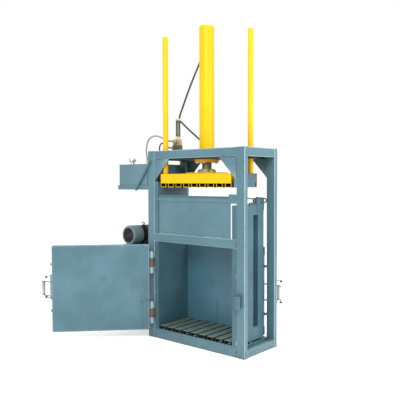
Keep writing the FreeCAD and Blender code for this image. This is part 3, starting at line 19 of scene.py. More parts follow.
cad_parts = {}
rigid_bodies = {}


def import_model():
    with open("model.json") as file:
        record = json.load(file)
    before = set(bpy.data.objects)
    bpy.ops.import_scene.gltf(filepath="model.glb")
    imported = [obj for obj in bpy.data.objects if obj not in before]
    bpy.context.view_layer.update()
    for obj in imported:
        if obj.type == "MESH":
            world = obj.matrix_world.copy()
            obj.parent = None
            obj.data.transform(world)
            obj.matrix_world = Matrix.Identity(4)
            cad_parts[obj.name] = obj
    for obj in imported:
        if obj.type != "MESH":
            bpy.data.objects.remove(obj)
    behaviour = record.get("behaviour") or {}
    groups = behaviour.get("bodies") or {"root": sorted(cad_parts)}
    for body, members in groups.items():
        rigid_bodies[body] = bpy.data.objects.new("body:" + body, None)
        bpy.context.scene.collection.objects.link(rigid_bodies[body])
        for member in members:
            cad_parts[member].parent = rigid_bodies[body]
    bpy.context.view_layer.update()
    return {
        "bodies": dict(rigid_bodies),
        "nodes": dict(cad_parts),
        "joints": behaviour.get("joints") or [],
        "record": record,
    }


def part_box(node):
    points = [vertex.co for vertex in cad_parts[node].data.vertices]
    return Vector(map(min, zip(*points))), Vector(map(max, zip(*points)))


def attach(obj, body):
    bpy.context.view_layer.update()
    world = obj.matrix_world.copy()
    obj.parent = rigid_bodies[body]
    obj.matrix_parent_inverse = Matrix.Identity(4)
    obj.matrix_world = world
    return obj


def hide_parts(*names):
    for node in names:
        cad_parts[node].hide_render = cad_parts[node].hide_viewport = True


LOG = logging.getLogger("baler")
Array = np.ndarray
Point = tuple[float, float, float]
Span = tuple[float, float]
Colour = tuple[float, float, float]
MM = 0.001
EDGE_TURN = math.radians(12)
BOLTS = 8


# ---------------------------------------------------------------- surfaces

class Axis(Enum):
    """A row axis, with the order of the two axes across it."""

    X = (0, 1, 2)
    Y = (1, 0, 2)
    Z = (2, 0, 1)

    def lift(self, flat: Array, along: Union[float, Array]) -> Array:
        """Place flat points across the axis at a height along it.

        Args:
            flat: pairs on the plane across the axis.
            along: one height, or one for each pair.

        Returns:
            Points in the row frame.
        """
        main, first, second = self.value
        points = np.zeros((len(flat), 3))
        points[:, first] = flat[:, 0]
        points[:, second] = flat[:, 1]
        points[:, main] = along
        return points


class Surface:
    """Gathers grids of points and flat caps into one closed mesh."""

    def __init__(self) -> None:
        """Start with nothing."""
        self.points: list[Array] = []
        self.quads: list[Array] = []
        self.caps: list[Array] = []
        self.count = 0

    def grid(self, points: Array, loop: bool = False) -> Array:
        """Add rings of points, each ring closed, joined by quads.

        Args:
            points: rings by points round by three.
            loop: whether the last ring joins the first.

        Returns:
            The points' numbers, ring by ring.
        """
        rings, around, _ = points.shape
        index = self.count + np.arange(rings * around).reshape(rings, around)
        self.points.append(points.reshape(-1, 3))
        self.count += rings * around
        below = index if loop else index[:-1]
        above = np.roll(index, -1, axis=0) if loop else index[1:]
        self.bridge(below, above)
        return index

    def bridge(self, below: Array, above: Array) -> None:
        """Join rings of numbers to the rings above them with quads."""
        quads = np.stack([below, np.roll(below, -1, axis=-1), np.roll(above, -1, axis=-1), above], axis=-1)
        self.quads.append(quads.reshape(-1, 4))

    def closed(self, rings: Array) -> None:
        """Add rings of points and close both ends with one flat face each."""
        index = self.grid(rings)
        self.caps += [index[0], index[-1]]

    def turn(self, degrees: float, pivot: Span) -> "Surface":
        """Turn everything so far about an upright line.

        Args:
            degrees: the angle, anticlockwise from above.
            pivot: the line's X and Y.

        Returns:
            This surface.
        """
        cosine = math.cos(math.radians(degrees))
        sine = math.sin(math.radians(degrees))
        spin = np.array([[cosine, sine, 0], [-sine, cosine, 0], [0, 0, 1]])
        centre = np.array([pivot[0], pivot[1], 0])
        self.points = [(block - centre) @ spin + centre for block in self.points]
        return self

    def build(self, name: str, finish: bpy.types.Material, sharp: float = 40) -> bpy.types.Object:
        """Make the mesh object, smooth but for its sharp edges.

        Args:
            name: the piece's name.
            finish: its material.
            sharp: the angle in degrees past which an edge is sharp.

        Returns:
            The object, at the origin.
        """
        mesh = bpy.data.meshes.new(name)
        quads = np.concatenate(self.quads) if self.quads else np.zeros((0, 4), int)
        faces = quads.tolist() + [ring.tolist() for ring in self.caps]
        mesh.from_pydata(np.concatenate(self.points), [], faces)
        shell = bmesh.new()
        shell.from_mesh(mesh)
        bmesh.ops.recalc_face_normals(shell, faces=shell.faces)
        # Mark vertices on convex edges; the paints lighten them, partly as worn paint and partly as painted
        # highlight.
        edge_wear_and_highlight = [float(any(edge.calc_face_angle_signed(0) > EDGE_TURN for edge in vertex.link_edges))
                for vertex in shell.verts]
        shell.to_mesh(mesh)
        shell.free()
        mesh.shade_smooth()
        mesh.set_sharp_from_angle(angle=math.radians(sharp))
        mesh.attributes.new("edge_wear_and_highlight", "FLOAT", "POINT").data.foreach_set("value", edge_wear_and_highlight)
        mesh.materials.append(finish)
        piece = bpy.data.objects.new(name, mesh)
        bpy.context.scene.collection.objects.link(piece)
        return piece


def parabola(start: Array, corner: Array, end: Array, share: Array) -> Array:
    """Return (1 - t)^2 start + 2 t (1 - t) corner + t^2 end, for each share t."""
    return (1 - share) ** 2 * start + 2 * share * (1 - share) * corner + share ** 2 * end


def rounded(corners: Sequence[Span], radius: float, steps: int = 4) -> Array:
    """Round a polygon's corners: each becomes a parabola between points a radius from it.

    Args:
        corners: the polygon, in order.
        radius: the distance from a corner at which its curve starts.
        steps: the curve's number of segments.

    Returns:
        The outline's pairs.
    """
    here = np.array(corners, float)
    before = np.roll(here, 1, axis=0) - here
    after = np.roll(here, -1, axis=0) - here
    trim_in = np.minimum(radius, np.linalg.norm(before, axis=1) * 0.49)[:, None]
    trim_out = np.minimum(radius, np.linalg.norm(after, axis=1) * 0.49)[:, None]
    start = here + before / np.linalg.norm(before, axis=1)[:, None] * trim_in
    end = here + after / np.linalg.norm(after, axis=1)[:, None] * trim_out
    share = np.linspace(0, 1, steps + 1)[None, :, None]
    return parabola(start[:, None], here[:, None], end[:, None], share).reshape(-1, 2)


def rectangle(across: Span, up: Span, radius: float, steps: int = 4) -> Array:
    """Return a rounded rectangle's outline, anticlockwise."""
    corners = [(across[0], up[0]), (across[1], up[0]), (across[1], up[1]), (across[0], up[1])]
    return rounded(corners, radius, steps)


def channel(middle: float, wide: float, foot: float, web: float, wall: float) -> Array:
    """Bend a U: its legs go from the foot to the web, which may lie above or below.

    Args:
        middle: its middle across.
        wide: its width.
        foot: the height of the legs' ends.
        web: the height of the web's outer face.
        wall: the sheet's thickness.

    Returns:
        The outline's pairs, with rounded bends.
    """
    drop = math.copysign(wall, web - foot)
    left, right = middle - wide / 2, middle + wide / 2
    corners = [(left, foot), (left, web), (right, web), (right, foot), (right - wall, foot),
               (right - wall, web - drop), (left + wall, web - drop), (left + wall, foot)]
    return rounded(corners, 2.4 * MM, 3)


def row(count: int, pitch: float) -> list[float]:
    """Return evenly spaced places about zero."""
    return [(index - (count - 1) / 2) * pitch for index in range(count)]


def circle(radius: float, centre: Span = (0, 0), steps: int = 32) -> Array:
    """Return a circle's outline: centre plus radius times cosine and sine."""
    angle = np.linspace(0, 2 * math.pi, steps, endpoint=False)
    return np.stack([centre[0] + radius * np.cos(angle), centre[1] + radius * np.sin(angle)], axis=1)


def shrunk(outline: Array, by: float) -> Array:
    """Draw an outline in, each point along the mean of its two edge normals.

    Args:
        outline: the pairs, either way round.
        by: how far in.

    Returns:
        The smaller outline.
    """
    ahead = np.roll(outline, -1, axis=0) - outline
    ahead = ahead / np.maximum(np.linalg.norm(ahead, axis=1)[:, None], 1e-9)
    behind = np.roll(ahead, 1, axis=0)
    inward = np.stack([-(ahead + behind)[:, 1], (ahead + behind)[:, 0]], axis=1)
    length = np.linalg.norm(inward, axis=1)[:, None]
    inward = inward / np.maximum(length, 1e-9) / np.maximum(length / 2, 0.5)
    area = np.sum(outline[:, 0] * np.roll(outline[:, 1], -1) - np.roll(outline[:, 0], -1) * outline[:, 1])
    return outline + inward * by * np.sign(area)


def bar(into: Surface, outline: Array, axis: Axis, span: Span, edge: float = 1.0 * MM,
        bore: Optional[Array] = None) -> None:
    """Carry a section along an axis, with its end edges eased.

    At a share t of the easing, the section is drawn in by edge (1 - t)^2 and lies edge t^2 from the end.

    Args:
        into: the surface that gets it.
        outline: the section across the axis.
        axis: the axis.
        span: where it starts and ends.
        edge: how far the end edges are eased.
        bore: the hole's outline, with as many points as the section, for an open tube.
    """
    shares = np.linspace(0, 1, 4)
    heights = [(shrunk(outline, edge * (1 - share) ** 2), span[0] + edge * share ** 2) for share in shares]
    heights += [(shrunk(outline, edge * share ** 2), span[1] - edge * (1 - share) ** 2) for share in shares]
    rings = np.stack([axis.lift(flat, along) for flat, along in heights])
    if bore is None:
        into.closed(rings)
        return
    back = np.stack([axis.lift(bore, span[1]), axis.lift(bore, span[0])])
    into.grid(np.concatenate([rings, back]), loop=True)


def block(into: Surface, low: Sequence[float], high: Sequence[float], radius: float,
          axis: Axis = Axis.Z) -> None:
    """Add a box with rounded edges along an axis and eased ends.

    Args:
        into: the surface that gets it.
        low: its low corner.
        high: its high corner.
        radius: the edges' radius.
        axis: the axis along its rounded edges.
    """
    main, first, second = axis.value
    outline = rectangle((low[first], high[first]), (low[second], high[second]), radius, 3)
    bar(into, outline, axis, (low[main], high[main]), min(radius, 0.3 * (high[main] - low[main])))


def tube(into: Surface, low: Sequence[float], high: Sequence[float], axis: Axis, wall: float = 5 * MM,
         corner: float = 9 * MM) -> None:
    """Add an open rectangular tube along an axis.

    Args:
        into: the surface that gets it.
        low: its low corner.
        high: its high corner.
        axis: the axis that it runs along.
        wall: its wall's thickness.
        corner: its outer corner radius.
    """
    main, first, second = axis.value
    across = (low[first], high[first])
    upward = (low[second], high[second])
    outline = rectangle(across, upward, corner)
    bore = rectangle((across[0] + wall, across[1] - wall), (upward[0] + wall, upward[1] - wall),
                     max(corner - wall, 1 * MM))
    bar(into, outline, axis, (low[main], high[main]), 0.8 * MM, bore)


def turned(into: Surface, profile: Sequence[Span], axis: Axis, centre: Span, loop: bool = False,
           around: int = 48) -> None:
    """Turn a profile about an axis: each ring is a circle of its radius at its height.

    Args:
        into: the surface that gets it.
        profile: pairs of radius and height along the axis.
        axis: the axis.
        centre: the axis's place on the plane across it.
        loop: whether the profile closes on itself, as round a hollow ring.
        around: points in each ring.
    """
    rings = np.stack([axis.lift(circle(radius, centre, around), along) for radius, along in profile])
    if loop:
        into.grid(rings, loop)
    else:
        into.closed(rings)


def eased(radius: float, span: Span, edge: float) -> list[Span]:
    """Ease a plain shaft's two ends.

    Args:
        radius: the shaft's radius.
        span: where it starts and ends.
        edge: the size of the round at each end.

    Returns:
        Pairs of radius and height.
    """
    return [(radius - edge, span[0]), (radius - edge * 0.3, span[0] + edge * 0.3), (radius, span[0] + edge),
            (radius, span[1] - edge), (radius - edge * 0.3, span[1] - edge * 0.3), (radius - edge, span[1])]


def carried(into: Surface, path: Array, radius: Union[float, Array], around: int) -> None:
    """Carry a circle along a path, its frame kept upright by one fixed direction.

    Args:
        into: the surface that gets it.
        path: points in order.
        radius: one radius, or one for each point.
        around: points in each ring.
    """
    path = np.asarray(path, float)
    ahead = np.gradient(path, axis=0)
    ahead /= np.linalg.norm(ahead, axis=1)[:, None]
    spread = np.abs(ahead).max(axis=0)
    guide = np.eye(3)[int(np.argmin(spread))]
    side = np.cross(ahead, guide)
    side /= np.linalg.norm(side, axis=1)[:, None]
    upward = np.cross(side, ahead)
    angle = np.linspace(0, 2 * math.pi, around, endpoint=False)[None, :, None]
    size = np.broadcast_to(np.asarray(radius, float), (len(path),))[:, None, None]
    ring = np.cos(angle) * side[:, None] + np.sin(angle) * upward[:, None]
    into.closed(path[:, None] + size * ring)


def spun(into: Surface, profile: Sequence[Span], base: Sequence[float], ahead: Sequence[float],
         around: int = 24) -> None:
    """Turn a profile about a line: a point is the base, plus its height ahead, plus its radius across.

    Args:
        into: the surface that gets it.
        profile: pairs of radius and height along the line.
        base: the line's start.
        ahead: the line's direction.
        around: points in each ring; six make a hexagon.
    """
    line = np.asarray(ahead, float)
    line = line / np.linalg.norm(line)
    guide = np.eye(3)[int(np.argmin(np.abs(line)))]
    side = np.cross(line, guide)
    side /= np.linalg.norm(side)
    turn = np.linspace(0, 2 * math.pi, around, endpoint=False)[None, :, None]
    ring = np.cos(turn) * side + np.sin(turn) * np.cross(side, line)
    radius, along = np.array(profile, float).T[:, :, None, None]
    into.closed(np.asarray(base, float) + along * line + radius * ring)


def smooth_path(points: Sequence[Point], steps: int = 8) -> Array:
    """Round a route with a parabola at each corner, from the middle of one leg to the next one's.

    Args:
        points: the route's corners.
        steps: points on each parabola.

    Returns:
        The path, with the route's own two ends.
    """
    here = np.array(points, float)
    middles = (here[1:] + here[:-1]) / 2
    share = np.linspace(0, 1, steps, endpoint=False)[None, :, None]
    curve = parabola(middles[:-1, None], here[1:-1, None], middles[1:, None], share)
    return np.concatenate([here[:1], curve.reshape(-1, 3), middles[-1:], here[-1:]])


def bead(into: Surface, start: Sequence[float], end: Sequence[float], radius: float = 3.2 * MM) -> None:
    """Lay a weld bead: a thin rod whose radius ripples as a sine along it and tapers at both ends.

    Args:
        into: the surface that gets it.
        start: one end.
        end: the other end.
        radius: the bead's radius before its ripple.
    """
    first = np.array(start, float)
    last = np.array(end, float)
    length = float(np.linalg.norm(last - first))
    count = max(8, int(length / (1.6 * MM)))
    share = np.linspace(0, 1, count)[:, None]
    ripple = 1 + 0.16 * np.abs(np.sin(share[:, 0] * length / (4.5 * MM) * math.pi))
    taper = np.clip(np.minimum(share[:, 0], 1 - share[:, 0]) * length / (3 * MM), 0.25, 1)
    carried(into, first + (last - first) * share, radius * ripple * taper, 8)


def bolt_head(into: Surface, base: Sequence[float], axis: Axis, across: float, high: float,
              sign: float = 1) -> None:
    """Add a hexagon head with a chamfered top.

    Args:
        into: the surface that gets it.
        base: the middle of its seat.
        axis: the axis that it stands along.
        across: its size across the flats.
        high: its height.
        sign: 1 to stand up the axis, -1 to hang down it.
    """
    main, first, second = axis.value
    corners = circle(across / math.sqrt(3), (0, 0), 6)
    outline = rounded([tuple(pair) for pair in corners], 0.6 * MM, 2)
    heights = ((1.0, 0.0), (1.0, 0.78), (0.86, 1.0))
    centre = np.array([base[first], base[second]])
    rings = np.stack([axis.lift(outline * size + centre, base[main] + sign * high * along)
                      for size, along in heights])
    into.closed(rings)


def bolt_circle(into: Surface, centre: Span, radius: float, seat: float, across: float, high: float,
                sign: float = 1) -> None:
    """Set hexagon heads evenly round an upright line, the first half a step from +X.

    Args:
        into: the surface that gets them.
        centre: the line's X and Y.
        radius: the circle's radius.
        seat: the height of their seats.
        across: each head's size across the flats.
        high: each head's height.
        sign: 1 to stand on the seat, -1 to hang under it.
    """
    for index in range(BOLTS):
        angle = (index + 0.5) * 2 * math.pi / BOLTS
        spot = (centre[0] + radius * math.cos(angle), centre[1] + radius * math.sin(angle), seat)
        bolt_head(into, spot, Axis.Z, across, high, sign)


# ---------------------------------------------------------------- finishes

class Wire:
    """A shader value that adds Math nodes when it is used in an expression."""

    def __init__(self, tree: bpy.types.NodeTree, socket: bpy.types.NodeSocket) -> None:
        """Hold a socket of a tree."""
        self.tree = tree
        self.socket = socket

    def math(self, operation: str, *others: Union["Wire", float], swap: bool = False) -> "Wire":
        """Add one Math node on this value and others.

        Args:
            operation: the node's operation.
            others: its other values.
            swap: whether this value comes second.

        Returns:
            The node's value.
        """
        node = self.tree.nodes.new("ShaderNodeMath")
        node.operation = operation
        values = [self, *others]
        if swap:
            values = values[::-1]
        for slot, item in zip(node.inputs, values):
            if isinstance(item, Wire):
                self.tree.links.new(item.socket, slot)
            else:
                slot.default_value = item
        return Wire(self.tree, node.outputs[0])

    def __add__(self, other: Union["Wire", float]) -> "Wire":
        """Add."""
        return self.math("ADD", other)

    def __radd__(self, other: float) -> "Wire":
        """Add, from the right."""
        return self.math("ADD", other)

    def __sub__(self, other: Union["Wire", float]) -> "Wire":
        """Subtract."""
        return self.math("SUBTRACT", other)

    def __rsub__(self, other: float) -> "Wire":
        """Subtract, from the right."""
        return self.math("SUBTRACT", other, swap=True)

    def __mul__(self, other: Union["Wire", float]) -> "Wire":
        """Multiply."""
        return self.math("MULTIPLY", other)

    def __rmul__(self, other: float) -> "Wire":
        """Multiply, from the right."""
        return self.math("MULTIPLY", other)

    def __abs__(self) -> "Wire":
        """Return the size without its sign."""
        return self.math("ABSOLUTE")

    def above(self, low: float, high: float) -> "Wire":
        """Return 0 below low, 1 above high and a smooth step between; high may be the lower."""
        node = self.tree.nodes.new("ShaderNodeMapRange")
        node.interpolation_type = "SMOOTHSTEP"
        self.tree.links.new(self.socket, node.inputs["Value"])
        turned_round = high < low
        node.inputs["From Min"].default_value = min(low, high)
        node.inputs["From Max"].default_value = max(low, high)
        node.inputs["To Min"].default_value = 1.0 if turned_round else 0.0
        node.inputs["To Max"].default_value = 0.0 if turned_round else 1.0
        return Wire(self.tree, node.outputs[0])


class Graph:
    """One material's nodes."""

    def __init__(self, name: str) -> None:
        """Start a material with its main shader."""
        self.material = bpy.data.materials.new(name)
        self.material.use_nodes = True
        self.tree = self.material.node_tree
        self.shader = self.tree.nodes["Principled BSDF"]
        self.place = self.node("ShaderNodeTexCoord", output="Object")

    def node(self, kind: str, settings: Optional[dict] = None, inputs: Optional[dict] = None,
             output: Union[int, str] = 0) -> Wire:
        """Add a node of any kind.

        Args:
            kind: the node's type.
            settings: its own properties, set first.
            inputs: values or wires for its sockets.
            output: which of its outputs to return.

        Returns:
            That output.
        """
        made = self.tree.nodes.new(kind)
        for key, item in (settings or {}).items():
            setattr(made, key, item)
        for key, item in (inputs or {}).items():
            if isinstance(item, Wire):
                self.tree.links.new(item.socket, made.inputs[key])
            else:
                made.inputs[key].default_value = item
        return Wire(self.tree, made.outputs[output])

    def axis(self, letter: str) -> Wire:
        """Return one coordinate of the place."""
        return self.node("ShaderNodeSeparateXYZ", inputs={0: self.place}, output=letter)

    def edge_wear_and_highlight(self) -> Wire:
        """Return how near a point is to an outer edge, from the mesh's own attribute; paints lighten there,
        partly as wear and partly as painted highlight.
        """
        edge = self.node("ShaderNodeAttribute", {"attribute_name": "edge_wear_and_highlight"}, output="Fac")
        return edge.math("POWER", 3.0)

    def noise(self, scale: float, detail: float = 3, stretch: Point = (1, 1, 1), rough: float = 0.55,
              shift: Point = (0, 0, 0)) -> Wire:
        """Add noise, drawn out along an axis by a small stretch.

        Args:
            scale: how many waves a metre holds.
            detail: how many finer layers it has.
            stretch: the scale along each axis.
            rough: how strong the finer layers are.
            shift: where the pattern starts.

        Returns:
            The noise, from 0 to 1.
        """
        spot = self.node("ShaderNodeMapping", inputs={0: self.place, "Scale": stretch, "Location": shift})
        return self.node("ShaderNodeTexNoise", inputs={"Vector": spot, "Scale": scale, "Detail": detail,
                                                       "Roughness": rough})

    def mix(self, share: Union[Wire, float], first: Union[Wire, Colour], second: Union[Wire, Colour]) -> Wire:
        """Blend two colours."""
        colours = [item if isinstance(item, Wire) else (*item, 1.0) for item in (first, second)]
        return self.node("ShaderNodeMix", {"data_type": "RGBA"}, {0: share, 6: colours[0], 7: colours[1]}, 2)

    def near(self, spot: Point, reach: float) -> Wire:
        """Return a mask that is 1 at a place and falls to 0 at a reach from it."""
        gap = self.node("ShaderNodeVectorMath", {"operation": "DISTANCE"}, {0: self.place, 1: spot}, "Value")
        return gap.above(reach, reach * 0.2)

    def within(self, bands: Sequence[tuple[str, float, float]]) -> Wire:
        """Return a mask that is 1 where every band holds.

        Args:
            bands: an axis letter, where the mask starts to rise and where it is full. X counts from
                the middle, on both sides.

        Returns:
            The product of the bands' masks.
        """
        masks = [(abs(self.axis(letter)) if letter == "X" else self.axis(letter)).above(start, end)
                 for letter, start, end in bands]
        product = masks[0]
        for mask in masks[1:]:
            product = product * mask
        return product

    def finish(self, colour: Wire, rough: Wire, height: Optional[Wire] = None, strength: float = 0.2,
               metallic: Union[Wire, float] = 0.0, coat: float = 0.0, depth: float = 1 * MM,
               gloss: float = 0.5) -> bpy.types.Material:
        """Join the looks to the shader.

        Args:
            colour: the base colour.
            rough: the roughness.
            height: the bump's height, if any.
            strength: the bump's strength.
            metallic: how metallic it is.
            coat: the clear coat's weight.
            depth: the bump's depth.
            gloss: the specular level.

        Returns:
            The material.
        """
        links = self.tree.links
        self.shader.inputs["Specular IOR Level"].default_value = gloss
        links.new(colour.socket, self.shader.inputs["Base Color"])
        links.new(rough.socket, self.shader.inputs["Roughness"])
        if isinstance(metallic, Wire):
            links.new(metallic.socket, self.shader.inputs["Metallic"])
        else:
            self.shader.inputs["Metallic"].default_value = metallic
        self.shader.inputs["Coat Weight"].default_value = coat
        self.shader.inputs["Coat Roughness"].default_value = 0.18
        if height is not None:
            bump = self.node("ShaderNodeBump", inputs={"Height": height, "Strength": strength,
                                                       "Distance": depth})
            links.new(bump.socket, self.shader.inputs["Normal"])
        return self.material


@dataclass(frozen=True)
class Paint:
    """Enamel on steel with stains, scuffs, rust near the floor, edges lightened partly as wear and partly as
    painted highlight, and painted shade in hollows.

    A band is an axis letter with the places where its mask starts and is full; a spot is a point
    with its reach.
    """

    name: str
    colour: Colour
    shade: Colour
    rust: Colour = (0.085, 0.042, 0.024)
    rough: float = 0.36
    coat: float = 0.06
    gloss: float = 0.34
    stain: float = 0.35
    scuff: float = 0.25
    low_rust: float = 0.5
    edge_rub_and_highlight: float = 0.0
    rust_band: Span = (0.20, 0.02)
    spots: tuple[tuple[Point, float], ...] = ()
    painted_shade_spots: tuple[tuple[Point, float], ...] = ()
    painted_shade_bands: tuple[tuple[str, float, float], ...] = ()

    def material(self) -> bpy.types.Material:
        """Build the paint's material."""
        graph = Graph(self.name)
        cloud = graph.noise(2.3, 3)
        streak = graph.noise(14, 4, (1, 1, 0.12))
        colour = graph.mix(cloud.above(0.35, 0.68), self.shade, self.colour)
        dark = tuple(0.62 * part for part in self.shade)
        colour = graph.mix(streak.above(0.60, 0.78) * self.stain, colour, dark)
        blot = graph.noise(5.2, 5, shift=(3, 1, 7)).above(0.62, 0.74)
        colour = graph.mix(blot * (self.stain * 0.8), colour, dark)
        pale = tuple(min(1.0, 0.15 + 1.15 * part) for part in self.colour)
        scratch = graph.noise(60, 3, (1, 1, 0.08), shift=(5, 2, 1)).above(0.70, 0.76)
        colour = graph.mix(scratch * self.scuff, colour, pale)
        # Convex edges lightened: partly worn paint, partly painted highlight where edges catch light.
        edge_rub_highlight = graph.edge_wear_and_highlight() * graph.noise(22, 3, shift=(2, 6, 4)).above(0.12, 0.50)
        colour = graph.mix(edge_rub_highlight * self.edge_rub_and_highlight, colour, pale)
        speck = graph.noise(130, 2, shift=(1, 4, 2)).above(0.72, 0.77)
        near_floor = graph.axis("Z").above(*self.rust_band)
        rusty = (speck * 0.5 + near_floor * graph.noise(38, 4).above(0.52, 0.66)) * self.low_rust
        for spot, reach in self.spots:
            rusty = rusty + graph.near(spot, reach) * graph.noise(55, 4).above(0.42, 0.62)
        rusty = rusty.math("MINIMUM", 1.0)
        colour = graph.mix(rusty, colour, self.rust)
        # Painted shade: hollows and recesses that little light reaches are painted near black.
        if self.painted_shade_bands:
            colour = graph.mix(graph.within(self.painted_shade_bands), colour, PAINTED_SHADE)
        for spot, reach in self.painted_shade_spots:
            colour = graph.mix(graph.near(spot, reach).above(0.0, 0.06), colour, PAINTED_SHADE)
        rough = self.rough + cloud * 0.12 + rusty * 0.4 + scratch * 0.15
        height = graph.noise(230, 2) * 0.25 + graph.noise(26, 2) * 0.9 - rusty * 0.5
        return graph.finish(colour, rough, height, 0.22, coat=self.coat, gloss=self.gloss)


@dataclass(frozen=True)
class Metal:
    """Bare, plated or cast metal, with turning marks or grain, and tarnish."""

    name: str
    colour: Colour
    tarnish: Colour
    rough: float = 0.35
    metallic: float = 1.0
    grain: Point = (1, 1, 1)
    grain_scale: float = 160
    dirt: float = 0.4
    bump: float = 0.15

    def material(self) -> bpy.types.Material:
        """Build the metal's material."""
        graph = Graph(self.name)
        cloud = graph.noise(9, 4).above(0.42, 0.66)
        grain = graph.noise(self.grain_scale, 3, self.grain)
        colour = graph.mix(cloud * self.dirt, self.colour, self.tarnish)
        colour = graph.mix(grain.above(0.35, 0.8) * 0.25, colour, self.tarnish)
        rough = self.rough + cloud * 0.18 + grain * 0.12
        metallic = self.metallic - cloud * (0.5 * self.dirt * self.metallic)
        return graph.finish(colour, rough, grain, self.bump, metallic)


@dataclass(frozen=True)
class Rubber:
    """Hose cover or moulded plastic with fine wrap marks."""

    name: str
    colour: Colour
    worn: Colour
    rough: float = 0.5

    def material(self) -> bpy.types.Material:
        """Build the rubber's material."""
        graph = Graph(self.name)
        dust = graph.noise(12, 4).above(0.45, 0.75)
        weave = graph.noise(420, 2)
        colour = graph.mix(dust * 0.6, self.colour, self.worn)
        return graph.finish(colour, self.rough + dust * 0.2, weave, 0.3, depth=0.5 * MM)


TEAL = (0.072, 0.148, 0.176)
TEAL_SHADE = (0.058, 0.124, 0.150)
# Near black used as painted shade in hollows, recesses and the cowl's grille.
PAINTED_SHADE = (0.010, 0.012, 0.011)


